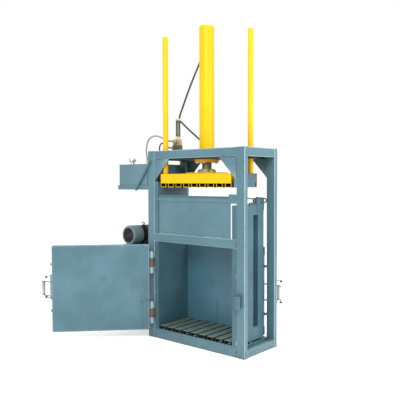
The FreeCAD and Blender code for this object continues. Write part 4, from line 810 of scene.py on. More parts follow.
class Finish(Enum):
    """Every finish on the machine.

    The painted shade bands paint near black the hollows that little light reaches: below the floor slats'
    tops, inside the platen's slats, and the platen channels' ends.
    """

    # Lightened edges on these paints are partly worn paint and partly painted highlight.
    FRAME = Paint("frame_enamel", TEAL, TEAL_SHADE, edge_rub_and_highlight=0.8)
    COLUMN = Paint("column_enamel", TEAL, TEAL_SHADE, stain=0.3, low_rust=0.9, edge_rub_and_highlight=0.8,
                   spots=(((-0.60, -0.30, 0.66), 0.05), ((-0.60, -0.30, 0.22), 0.06)))
    DOOR = Paint("door_enamel", (0.064, 0.144, 0.173), (0.047, 0.110, 0.134), stain=0.45, edge_rub_and_highlight=0.6,
                 low_rust=1.6, rust_band=(0.109, 0.099),
                 spots=(((-0.585, -0.36, 0.42), 0.035), ((-0.62, -0.40, 0.40), 0.03)))
    LINING = Paint("lining_enamel", (0.060, 0.150, 0.195), (0.046, 0.120, 0.160), stain=0.5, scuff=0.4)
    TANK = Paint("tank_enamel", (0.088, 0.168, 0.196), (0.070, 0.142, 0.170), stain=0.3, low_rust=0.1)
    # Paler than the frame paint so the beads read as catching light: painted highlight.
    WELD = Paint("weld_paint_and_highlight", (0.30, 0.42, 0.45), (0.13, 0.24, 0.27), stain=0.5, scuff=0.6, low_rust=0.6,
                 rough=0.32)
    SEAM = Paint("painted_seam", (0.030, 0.062, 0.075), (0.022, 0.046, 0.056), stain=0.5, scuff=0.3,
                 low_rust=0.6)
    # Darker than the frame's teal, partly as painted shade of the recessed chamber walls.
    CHAMBER = Paint("chamber_enamel_and_painted_shade", (0.048, 0.112, 0.140), (0.034, 0.085, 0.110), stain=0.5, scuff=0.4,
                    rough=0.42)
    # Below the slats' tops is painted near black: painted shade between and under the slats; lightened edges
    # are partly wear, partly painted highlight.
    SLAT = Paint("slat_enamel", (0.105, 0.155, 0.135), (0.080, 0.120, 0.105), rough=0.34, stain=0.5,
                 scuff=0.8, low_rust=0.4, edge_rub_and_highlight=1.0, painted_shade_bands=(("Z", 0.1445, 0.1425),))
    PRESS = Paint("press_enamel", (0.62, 0.375, 0.001), (0.57, 0.335, 0.001), stain=0.05,
                  scuff=0.06, low_rust=0.05, rough=0.34, coat=0.0, gloss=0.16)
    # Inside the platen's slats is painted near black: painted shade of their hollows.
    SLATS = replace(PRESS, name="slat_yellow",
                    painted_shade_bands=(("Y", -0.2573, -0.2565), ("Y", 0.1682, 0.1674), ("Z", 1.6322, 1.6330)))
    # The channels' open ends are painted near black: painted shade inside them.
    BEAMS = replace(PRESS, name="channel_yellow", painted_shade_bands=(("X", 0.4738, 0.4745),))
    FLANGE = Paint("flange_enamel", (0.72, 0.36, 0.02), (0.60, 0.28, 0.02), stain=0.35, low_rust=0.15)
    # Near black for the mount plate: painted shade of its underside beneath the top ring.
    PAINTED_SHADE_PLATE = Paint("dark_plate", (0.018, 0.022, 0.026), (0.012, 0.015, 0.018), stain=0.4, rough=0.5, coat=0.0)
    # The grille disc is painted near black: painted shade of the hollow cowl behind it.
    COWL = Paint("cowl_enamel", (0.115, 0.165, 0.175), (0.085, 0.125, 0.135), stain=0.3, low_rust=0.1,
                 painted_shade_spots=(((-0.968, -0.280, 1.087), 0.089),))
    MOTOR = Paint("motor_black", (0.018, 0.020, 0.022), (0.012, 0.013, 0.015), stain=0.3, low_rust=0.1)
    VALVE = Metal("valve_casting", (0.12, 0.12, 0.075), (0.035, 0.035, 0.02), 0.45, 0.55, bump=0.3)
    SPOOL = Metal("valve_body", (0.42, 0.36, 0.24), (0.18, 0.13, 0.06), 0.42, 0.7)
    BRASS = Metal("yellow_zinc", (0.60, 0.47, 0.25), (0.25, 0.18, 0.08), 0.32, 0.9)
    STEEL = Metal("bare_steel", (0.42, 0.43, 0.43), (0.16, 0.14, 0.12), 0.38, 0.95)
    HOOK = Metal("hook_steel", (0.13, 0.15, 0.15), (0.05, 0.05, 0.05), 0.42, 0.8)
    ZINC = Metal("zinc_plate", (0.55, 0.55, 0.52), (0.25, 0.22, 0.16), 0.35, 0.95)
    RUST = Metal("rusty_barrel", (0.15, 0.095, 0.07), (0.07, 0.035, 0.02), 0.62, 0.35, dirt=0.9, bump=0.4)
    ROD = Metal("oiled_rod", (0.34, 0.33, 0.16), (0.13, 0.12, 0.05), 0.22, 0.9, (0.2, 0.2, 9), 40, 0.8, 0.05)
    CHROME = Metal("chrome_cap", (0.70, 0.71, 0.72), (0.35, 0.34, 0.30), 0.16, 1.0, dirt=0.2, bump=0.03)
    CAST = Metal("dark_casting", (0.05, 0.055, 0.055), (0.03, 0.03, 0.028), 0.55, 0.4, bump=0.45)
    KNOB = Rubber("knob_plastic", (0.012, 0.012, 0.013), (0.05, 0.05, 0.05), 0.28)
    HOSE = Rubber("hose_cover", (0.020, 0.022, 0.014), (0.05, 0.05, 0.035), 0.48)
    SLEEVE = Rubber("hose_sleeve", (0.045, 0.045, 0.028), (0.10, 0.095, 0.06), 0.55)
    GREY_HOSE = Rubber("grey_hose", (0.20, 0.22, 0.21), (0.12, 0.13, 0.12), 0.45)


class Shop:
    """Hands out one material for each finish, and sets pieces on their bodies."""

    def __init__(self, nodes: dict[str, bpy.types.Object]) -> None:
        """Keep the frame's nodes, with no material made yet."""
        self.nodes = nodes
        self.made: dict[Finish, bpy.types.Material] = {}

    def coat(self, finish: Finish) -> bpy.types.Material:
        """Return a finish's material, made once."""
        if finish not in self.made:
            self.made[finish] = finish.value.material()
        return self.made[finish]

    def piece(self, surface: Surface, name: str, finish: Finish, body: str, slot: str,
              *nodes: str, sharp: float = 40) -> bpy.types.Object:
        """Build a surface and set it on its body.

        Args:
            surface: the shape.
            name: the piece's name.
            finish: its finish.
            body: the body it moves with.
            slot: the record's material slot; not used.
            nodes: the frame's nodes that it stands for.
            sharp: the angle past which an edge is sharp.

        Returns:
            The piece.
        """
        made = surface.build(name, self.coat(finish), sharp)
        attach(made, body)
        if nodes:
            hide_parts(*nodes)
        LOG.info("%s: %d faces on %s", name, len(made.data.polygons), body)
        return made

    def dress(self, finish: Finish, *nodes: str) -> None:
        """Give some of the frame's own nodes a finish."""
        for node in nodes:
            for slot in self.nodes[node].material_slots:
                slot.material = self.coat(finish)
            LOG.info("%s: kept, in %s", node, finish.name)


def sheet_metal(into: Surface, across: Span, upward: Span, inner: float, outer: float,
                bays: tuple[int, int], dent: float) -> None:
    """Add an upright sheet across X that is slightly drawn in between its ribs.

    The dent is a sine over the bays across times a sine over the bays up, both squared, so it is
    nothing at the ribs and at the edges. Each ring is a loop up one face and down the other.

    Args:
        into: the surface that gets it.
        across: its X span.
        upward: its Z span.
        inner: the inner face's Y.
        outer: the outer face's Y.
        bays: how many bays across and up.
        dent: the dent's depth, towards the outer face.
    """
    shares = np.linspace(0, 1, 49)
    heights = np.linspace(0, 1, 41)
    grid_x, grid_z = np.meshgrid(shares, heights, indexing="ij")
    wave = np.sin(math.pi * bays[0] * grid_x) ** 2 * np.sin(math.pi * bays[1] * grid_z) ** 2
    offset = wave * dent * math.copysign(1, outer - inner)
    x = across[0] + grid_x * (across[1] - across[0])
    z = upward[0] + grid_z * (upward[1] - upward[0])
    face_in = np.stack([x, inner + offset, z], axis=2)
    face_out = np.stack([x, np.full_like(x, outer), z], axis=2)[:, ::-1]
    into.closed(np.concatenate([face_in, face_out], axis=1))


def gusset(into: Surface, corner: Span, size: Span, face: Span) -> None:
    """Add a triangular corner plate, upright across X.

    Args:
        into: the surface that gets it.
        corner: the X and Z of its square corner.
        size: its legs along X and Z, with their signs.
        face: its Y span.
    """
    x, z = corner
    outline = rounded([(x, z), (x + size[0], z), (x, z + size[1])], 4 * MM, 2)
    bar(into, outline, Axis.Y, face, 0.8 * MM)


# ---------------------------------------------------------------- sub-assemblies

@dataclass
class FrameWork:
    """Columns, top ring, base, gussets, plates and their welds."""

    beam_deep: float = 30 * MM
    side_deep: float = 50 * MM
    mid_wall: float = 4 * MM
    mid_corner: float = 6 * MM
    gusset_wide: float = 216 * MM
    gusset_thick: float = 10 * MM
    stitch: float = 22 * MM
    panel_foot: Span = (-488 * MM, 462 * MM)
    panel_stitches: tuple[float, ...] = (-465 * MM, -315 * MM, -152 * MM, 8 * MM, 170 * MM, 330 * MM)
    column_stitches: tuple[float, ...] = (120 * MM, 480 * MM, 760 * MM, 1040 * MM)
    deck_stitches: tuple[float, ...] = (-380 * MM, -190 * MM, 0.0, 190 * MM, 380 * MM)

    def columns(self, shop: Shop) -> None:
        """Make the four upright tubes."""
        for place in ("front_left", "front_right", "back_left", "back_right"):
            surface = Surface()
            tube(surface, *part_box(f"column_{place}"), Axis.Z)
            shop.piece(surface, f"{place}_upright_tube", Finish.COLUMN, "root", "frame_paint",
                       f"column_{place}")

    def ring(self, shop: Shop) -> None:
        """Make the top ring and the middle beam."""
        low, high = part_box("top_beams")
        column_low, column_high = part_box("column_front_right")
        inner_x = column_low.x
        inner_y = -column_high.y
        surface = Surface()
        for sign in (-1, 1):
            near, far = sorted((sign * high.y, sign * (high.y - self.beam_deep)))
            tube(surface, (-inner_x, near, low.z), (inner_x, far, high.z), Axis.X)
            near, far = sorted((sign * high.x, sign * (high.x - self.side_deep)))
            tube(surface, (near, -inner_y, low.z), (far, inner_y, high.z), Axis.Y)
        shop.piece(surface, "top_ring", Finish.FRAME, "root", "frame_paint", "top_beams")
        surface = Surface()
        tube(surface, *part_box("mid_beam"), Axis.X, self.mid_wall, self.mid_corner)
        shop.piece(surface, "middle_beam", Finish.FRAME, "root", "frame_paint", "mid_beam")

    def gussets(self, shop: Shop) -> None:
        """Make the four triangular corner plates."""
        low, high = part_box("corner_gussets")
        surface = Surface()
        for sign in (-1, 1):
            for face in ((low.y, low.y + self.gusset_thick), (high.y - self.gusset_thick, high.y)):
                gusset(surface, (sign * high.x, high.z), (-sign * self.gusset_wide, low.z - high.z), face)
        shop.piece(surface, "gusset_plates", Finish.FRAME, "root", "frame_paint", "corner_gussets")

    def seams(self, shop: Shop) -> None:
        """Lay the thin dark seams at the joints of gussets, middle beam and base."""
        surface = Surface()
        low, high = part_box("corner_gussets")
        beam_low, beam_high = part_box("mid_beam")
        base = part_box("base_beams")[0]
        front = low.y + 0.5 * MM
        for sign in (-1, 1):
            edge = sign * (high.x - 1.5 * MM)
            bead(surface, (edge, front, low.z + 12 * MM), (edge, front, high.z - 8 * MM), 2.6 * MM)
            top = high.z - 1 * MM
            bead(surface, (sign * (high.x - 8 * MM), front, top),
                 (sign * (high.x - self.gusset_wide + 10 * MM), front, top))
            edge = sign * (beam_high.x - 0.5 * MM)
            bead(surface, (edge, beam_low.y + 2 * MM, beam_low.z + 6 * MM),
                 (edge, beam_low.y + 2 * MM, beam_high.z - 6 * MM))
            bead(surface, (edge, base.y + 2.2 * MM, 8 * MM), (edge, base.y + 2.2 * MM, 78 * MM))
        shop.piece(surface, "frame_seams", Finish.SEAM, "root", "frame_paint", sharp=60)

    def welds(self, shop: Shop) -> None:
        """Lay the panel's foot bead and the stitches on panel, columns and deck."""
        surface = Surface()
        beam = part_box("mid_beam")[1]
        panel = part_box("upper_front_panel")[0]
        foot_y = panel.y + 9.5 * MM
        bead(surface, (self.panel_foot[0], foot_y, beam.z), (self.panel_foot[1], foot_y, beam.z), 1.8 * MM)
        for middle in self.panel_stitches:
            self.stitched(surface, middle, foot_y, beam.z, 4.2 * MM)
        for sign in (-1, 1):
            edge = sign * (beam.x - 1 * MM)
            for foot in self.column_stitches:
                bead(surface, (edge, panel.y + 0.6 * MM, foot), (edge, panel.y + 0.6 * MM, foot + 40 * MM),
                     3 * MM)
        low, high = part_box("top_deck_plate")
        for middle in self.deck_stitches:
            for side in (low.y + 0.6 * MM, high.y - 0.6 * MM):
                self.stitched(surface, middle, side, high.z - 0.5 * MM, 2.4 * MM)
        shop.piece(surface, "frame_welds", Finish.WELD, "root", "frame_paint", sharp=60)

    def stitched(self, into: Surface, middle: float, y: float, z: float, radius: float) -> None:
        """Lay one short bead along X, a stitch to each side of its middle."""
        bead(into, (middle - self.stitch, y, z), (middle + self.stitch, y, z), radius)

    def build(self, shop: Shop) -> None:
        """Make the frame."""
        self.columns(shop)
        self.ring(shop)
        self.gussets(shop)
        self.welds(shop)
        self.seams(shop)
        shop.dress(Finish.FRAME, "base_beams", "top_deck_plate", "upper_front_panel",
                   "tank_platform", "motor_shelf")
        # The mount plate is painted near black as painted shade of its underside.
        shop.dress(Finish.PAINTED_SHADE_PLATE, "cylinder_mount_plate")


@dataclass
class Chamber:
    """Floor slats, side walls with their frames, and the strapping hooks."""

    slats: int = 9
    pitch: float = 110 * MM
    wide: float = 80 * MM
    wall: float = 5 * MM
    hook: float = 7 * MM
    hook_foot: float = 1475 * MM
    hook_backs: Span = (220 * MM, 10 * MM)
    hook_bends: tuple[Span, ...] = ((-88 * MM, 0.0), (-8 * MM, 3 * MM), (0.0, 24 * MM), (-8 * MM, 42 * MM),
                                    (-100 * MM, 51 * MM), (-178 * MM, 57 * MM))
    bar_high: float = 1466 * MM
    bar_span: Span = (-90 * MM, 67 * MM)

    def floor(self, shop: Shop) -> None:
        """Lay the floor's channels, each a bent U with its web on top."""
        low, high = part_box("floor_slats")
        surface = Surface()
        for middle in row(self.slats, self.pitch):
            outline = channel(middle, self.wide, low.z, high.z, self.wall)
            bar(surface, outline, Axis.Y, (low.y, high.y), 0.6 * MM)
        shop.piece(surface, "floor_channels", Finish.SLAT, "root", "frame_paint", "floor_slats")

    def hooks(self, shop: Shop) -> None:
        """Bend the two strapping hooks and lay their level bar."""
        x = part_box("strap_hooks")[1].x - self.hook
        surface = Surface()
        for back in self.hook_backs:
            route = [(x, back + ahead, self.hook_foot + rise) for ahead, rise in self.hook_bends]
            carried(surface, smooth_path(route), self.hook, 16)
        near, far = self.bar_span
        line = np.array([(x, near, self.bar_high), (x, 0, self.bar_high), (x, far, self.bar_high)])
        carried(surface, line, self.hook, 16)
        shop.piece(surface, "strapping_hooks", Finish.HOOK, "root", "bare_steel", "strap_hooks")

    def build(self, shop: Shop) -> None:
        """Make the chamber."""
        self.floor(shop)
        self.hooks(shop)
        shop.dress(Finish.CHAMBER, "left_wall", "right_wall", "left_wall_frame", "right_wall_frame",
                   "keepers")


@dataclass(frozen=True)
class HingeLine:
    """Where the doors turn, and the sizes that barrels, knuckles and pins share."""

    x: float = -566 * MM
    out: float = 308 * MM
    heights: Span = (274 * MM, 819 * MM)
    half: float = 46 * MM
    knuckle: float = 66 * MM
    gap: float = 1 * MM
    pin: float = 12 * MM


@dataclass
class Hinges:
    """Barrels welded to the left columns, with the pins in them."""

    line: HingeLine = HingeLine()
    radius: float = 24 * MM
    tail: float = 8 * MM
    rim: float = 6 * MM
    block: Span = (-20 * MM, 16 * MM)

    def barrel(self, into: Surface, sign: int, middle: float) -> None:
        """Add one barrel, the block that carries it, and the block's weld."""
        line = self.line
        low, high = middle - line.half, middle + line.half
        column = -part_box("column_front_left")[0].y
        bore = line.pin + 0.2 * MM
        turned(into, eased(self.radius, (low, high), 2 * MM) + [(bore, high), (bore, low)], Axis.Z,
               (line.x, sign * line.out), loop=True)
        near, far = sorted((sign * column, sign * (line.out - 4 * MM)))
        block(into, (line.x + self.block[0], near, low), (line.x + self.block[1], far, high), 2 * MM)
        weld = (line.x + self.block[1] + 1 * MM, sign * (column + 1 * MM))
        bead(into, (*weld, low + 4 * MM), (*weld, high - 4 * MM), 3.4 * MM)

    def pin(self, into: Surface, sign: int, middle: float) -> None:
        """Add one pin, with its head over the upper knuckle and its tail below the lower one."""
        line = self.line
        reach = line.half + line.gap + line.knuckle
        head = middle + reach + line.gap
        foot = middle - reach - self.tail
        rim = line.pin + self.rim
        turned(into, [(line.pin - 2 * MM, foot), (line.pin, foot + 2 * MM), (line.pin, head),
                      (rim, head + 0.5 * MM), (rim, head + 6 * MM), (rim - 2 * MM, head + 8.9 * MM)],
               Axis.Z, (line.x, sign * line.out))

    def build(self, shop: Shop) -> None:
        """Make the barrels and the pins."""
        barrels = Surface()
        pins = Surface()
        for sign in (-1, 1):
            for middle in self.line.heights:
                self.barrel(barrels, sign, middle)
                self.pin(pins, sign, middle)
        shop.piece(barrels, "hinge_barrel_set", Finish.RUST, "root", "rusty_steel", "hinge_barrels")
        shop.piece(pins, "hinge_pin_set", Finish.STEEL, "root", "bare_steel", "hinge_pins")


class Side(Enum):
    """The side that a door closes."""

    FRONT = ("front", -1, 284 * MM, 60 * MM, 478 * MM, -133.5)
    BACK = ("back", 1, 197 * MM, 88 * MM, 494 * MM, 0.0)

    def __init__(self, word: str, sign: int, seat: float, depth: float, reach: float, turn: float) -> None:
        """Hold the side's word, direction, seat, rib depth and reach, and angle at rest."""
        self.word = word
        self.sign = sign
        self.seat = seat
        self.depth = depth
        self.reach = reach
        self.turn = turn


@dataclass
class Door:
    """A bale door: inner sheet, tube ribs, knuckles, lugs and its latch, worked out closed."""

    side: Side
    left: float = -536 * MM
    free: float = 490 * MM
    low: float = 97 * MM
    high: float = 1016 * MM
    skin: float = 5 * MM
    dent: float = 0.9 * MM
    rib_left: float = -524 * MM
    rib_high: float = 90 * MM
    rib_shift: float = 6 * MM
    upright: float = 60 * MM
    hinge: HingeLine = HingeLine()
    knuckle: float = 22 * MM
    lug: float = 9 * MM
    catch: Span = (30 * MM, 26 * MM)
    catch_heights: Span = (307 * MM, 802 * MM)
    stitches: tuple[float, ...] = (470 * MM, 270 * MM, 0.0, -255 * MM, -500 * MM)
    latch: Span = (504 * MM, 335 * MM)
    latch_span: Span = (467 * MM, 623 * MM)
    latch_turn: float = 45.0
    stub: float = 7 * MM
    boss: float = 13 * MM
    arm: Point = (160 * MM, 24 * MM, 7 * MM)
    roller: float = 18 * MM
    roller_out: float = 132 * MM
    ball: float = 13.5 * MM
    stem: float = 4.5 * MM
    lever_reach: Span = (136 * MM, 34 * MM)

    def named(self, ending: str) -> str:
        """Return a name that starts with the door's side."""
        return f"{self.side.word}_{ending}"

    def y(self, out: float) -> float:
        """Return the Y of a distance out from the middle."""
        return self.side.sign * out

    def between(self, near: float, far: float) -> list[float]:
        """Return a Y span from near to far, low end first."""
        return sorted((self.y(near), self.y(far)))

    def hang(self, surface: Surface) -> Surface:
        """Turn a piece from closed to the door's rest place."""
        return surface.turn(self.side.turn, (self.hinge.x, self.y(self.hinge.out)))

    def swing(self, surface: Surface) -> Surface:
        """Turn the open door's latch from hooked to free, then with the door."""
        if self.side is Side.FRONT:
            surface.turn(-self.latch_turn, (self.latch[0], self.y(self.latch[1])))
        return self.hang(surface)

    def sheet(self, shop: Shop) -> None:
        """Make the inner sheet."""
        surface = Surface()
        sheet_metal(surface, (self.left, self.free), (self.low, self.high), self.y(self.side.seat),
                    self.y(self.side.seat + self.skin), (1, 3), self.dent)
        finish = Finish.DOOR if self.side is Side.FRONT else Finish.LINING
        shop.piece(self.hang(surface), self.named("door_sheet"), finish, self.named("door"), "frame_paint",
                   self.named("door_skin"), sharp=30)

    def rib_rows(self) -> list[tuple[float, bool]]:
        """Return each cross rib's middle height and whether it runs the full width."""
        third = (self.high - self.low) / 3
        return [(self.low + self.rib_high / 2, True), (self.high - self.rib_high / 2, True),
                (self.low + third + self.rib_shift, False), (self.high - third - self.rib_shift, False)]

    def ribs(self, shop: Shop) -> None:
        """Make the tubes behind the sheet."""
        surface = Surface()
        seat = self.side.seat + self.skin
        near, far = self.between(seat, seat + self.side.depth)
        for middle, full in self.rib_rows():
            trim = 0.0 if full else self.upright
            tube(surface, (self.rib_left + trim, near, middle - self.rib_high / 2),
                 (self.side.reach - trim, far, middle + self.rib_high / 2), Axis.X)
        for left in (self.rib_left, self.side.reach - self.upright):
            tube(surface, (left, near, self.low + self.rib_high),
                 (left + self.upright, far, self.high - self.rib_high), Axis.Z)
        shop.piece(self.hang(surface), self.named("door_tubes"), Finish.FRAME, self.named("door"),
                   "frame_paint", self.named("door_ribs"))

    def welds(self, shop: Shop) -> None:
        """Lay stitches between the sheet and the tubes, and beads at the tubes' joints."""
        surface = Surface()
        seat = self.side.seat + self.skin
        foot = self.y(seat + 1 * MM)
        inner = self.y(self.side.seat - 0.4 * MM)
        for middle in self.stitches:
            left = max(middle - 16 * MM, self.rib_left + 4 * MM)
            right = min(middle + 16 * MM, self.side.reach - 4 * MM)
            for edge in (self.high - 0.6 * MM, self.low + 0.6 * MM):
                bead(surface, (left, foot, edge), (right, foot, edge), 2.6 * MM)
            left = max(middle - 12 * MM, self.left + 6 * MM)
            right = min(middle + 12 * MM, self.free - 6 * MM)
            bead(surface, (left, inner, self.high - 13 * MM), (right, inner, self.high - 13 * MM), 2.2 * MM)
        outside = self.y(seat + self.side.depth - 2 * MM)
        for middle, full in self.rib_rows():
            for place in (self.rib_left + self.upright, self.side.reach - self.upright):
                self.joint(surface, middle, full, place, outside)
        shop.piece(self.hang(surface), self.named("door_welds"), Finish.WELD, self.named("door"),
                   "frame_paint", sharp=60)

    def joint(self, into: Surface, middle: float, full: bool, place: float, outside: float) -> None:
        """Lay the beads where a cross rib meets an upright.

        Args:
            into: the surface that gets them.
            middle: the rib's middle height.
            full: whether the rib runs past the upright, which then stands on its inner edge only.
            place: the upright's inner edge.
            outside: the Y of the tubes' outer face.
        """
        half = self.rib_high / 2 - 1 * MM
        if full:
            inward = 1 if middle < (self.low + self.high) / 2 else -1
            edge = middle + inward * half
            bead(into, (place - self.upright * 0.5, outside, edge),
                 (place + self.upright * 0.4, outside, edge), 2.6 * MM)
            return
        for edge in (middle - half, middle + half):
            bead(into, (place - 3 * MM, outside, edge - 8 * MM), (place - 3 * MM, outside, edge + 8 * MM),
                 2.6 * MM)

    def knuckles(self, into: Surface, face: float) -> None:
        """Add the four knuckles and the straps that carry them.

        The front's straps run level with the knuckles; the back's lie on the tubes' outer face.
        """
        line = self.hinge
        if self.side is Side.FRONT:
            near, far = self.between(line.out - 6 * MM, line.out + 6 * MM)
            start, end = line.x + 16 * MM, self.rib_left
        else:
            near, far = self.between(face, face + 10 * MM)
            start, end = line.x + 14 * MM, self.rib_left + self.upright + 40 * MM
        bore = line.pin + 0.1 * MM
        for middle in line.heights:
            for low in (middle + line.half + line.gap, middle - line.half - line.gap - line.knuckle):
                high = low + line.knuckle
                turned(into, eased(self.knuckle, (low, high), 2 * MM) + [(bore, high), (bore, low)], Axis.Z,
                       (line.x, self.y(line.out)), loop=True)
                block(into, (start, near, low), (end, far, high), 1.2 * MM)

    def fittings(self, shop: Shop) -> None:
        """Make the knuckles with their straps, the lugs and the edge catches."""
        surface = Surface()
        reach = self.side.reach
        face = self.side.seat + self.skin + self.side.depth
        self.knuckles(surface, face)
        near, far = self.between(face - 24 * MM, self.latch[1] + self.boss)
        outline = rectangle((reach, self.latch[0] + self.boss), (near, far), 5 * MM)
        for foot in (self.latch_span[0] - self.lug - 1 * MM, self.latch_span[1] + 1 * MM):
            bar(surface, outline, Axis.Z, (foot, foot + self.lug), 0.8 * MM)
        near, far = self.between(face - 34 * MM, face - 10 * MM)
        for foot in self.catch_heights:
            block(surface, (reach, near, foot), (reach + self.catch[0], far, foot + self.catch[1]), 3 * MM)
        shop.piece(self.hang(surface), self.named("door_hinge_parts"), Finish.FRAME, self.named("door"),
                   "frame_paint", self.named("door_fittings"))

    def yoke(self, shop: Shop) -> None:
        """Make the latch's post, stepped where it passes the lugs, and its two flat arms."""
        low, high = self.latch_span
        x, out = self.latch
        surface = Surface()
        turned(surface, [(self.stub, low - 30 * MM), (self.stub, low), (self.boss, low), (self.boss, high),
                         (self.stub, high + 0.1 * MM), (self.stub, high + 12 * MM),
                         (self.boss - 1 * MM, high + 12.5 * MM), (self.boss, high + 14 * MM),
                         (self.boss, high + 80 * MM), (self.boss - 1.5 * MM, high + 82 * MM)],
               Axis.Z, (x, self.y(out)))
        length, wide, thick = self.arm
        outline = rectangle((x, x + length), (self.y(out) - wide / 2, self.y(out) + wide / 2), 9 * MM, 6)
        for foot in (low, high - thick):
            bar(surface, outline, Axis.Z, (foot, foot + thick), 0.7 * MM)
        shop.piece(self.swing(surface), self.named("latch_arms"), Finish.FRAME, self.named("latch"),
                   "frame_paint", self.named("latch_yoke"))

    def hook_tube(self, shop: Shop) -> None:
        """Make the tube between the arms that hooks behind the keeper."""
        low = self.latch_span[0] + self.arm[2] + 0.5 * MM
        high = self.latch_span[1] - self.arm[2] - 0.5 * MM
        surface = Surface()
        turned(surface, eased(self.roller, (low, high), 1.5 * MM) + [(self.boss, high), (self.boss, low)],
               Axis.Z, (self.latch[0] + self.roller_out, self.y(self.latch[1])), loop=True)
        shop.piece(self.swing(surface), self.named("latch_roller"), Finish.STEEL, self.named("latch"),
                   "bare_steel", self.named("latch_tube"))

    def handles(self, shop: Shop) -> None:
        """Make the two ball handles."""
        low, high = self.latch_span
        x, out = self.latch
        surface = Surface()
        for start, end in ((high + 74 * MM, high + 36 * MM), (low - 20 * MM, low - 26 * MM)):
            self.lever(surface, np.array([x, self.y(out), start]),
                       np.array([x + self.lever_reach[0], self.y(out + self.lever_reach[1]), end]))
        shop.piece(self.swing(surface), self.named("ball_handles"), Finish.KNOB, self.named("latch"),
                   "knob_plastic", self.named("latch_handles"))

    def lever(self, into: Surface, start: Array, end: Array) -> None:
        """Add a bar with a ball: the bar's radius, then a sine of the angle round the ball."""
        length = float(np.linalg.norm(end - start))
        angle = np.linspace(math.asin(self.stem / self.ball), math.pi - 0.06, 15)
        heights = np.concatenate([[0.0], length - self.ball * np.cos(angle)])
        radii = np.concatenate([[self.stem], self.ball * np.sin(angle)])
        spun(into, list(zip(radii, heights)), start, end - start)

    def build(self, shop: Shop) -> None:
        """Make the door."""
        self.sheet(shop)
        self.ribs(shop)
        self.welds(shop)
        self.fittings(shop)
        self.yoke(shop)
        self.hook_tube(shop)
        self.handles(shop)


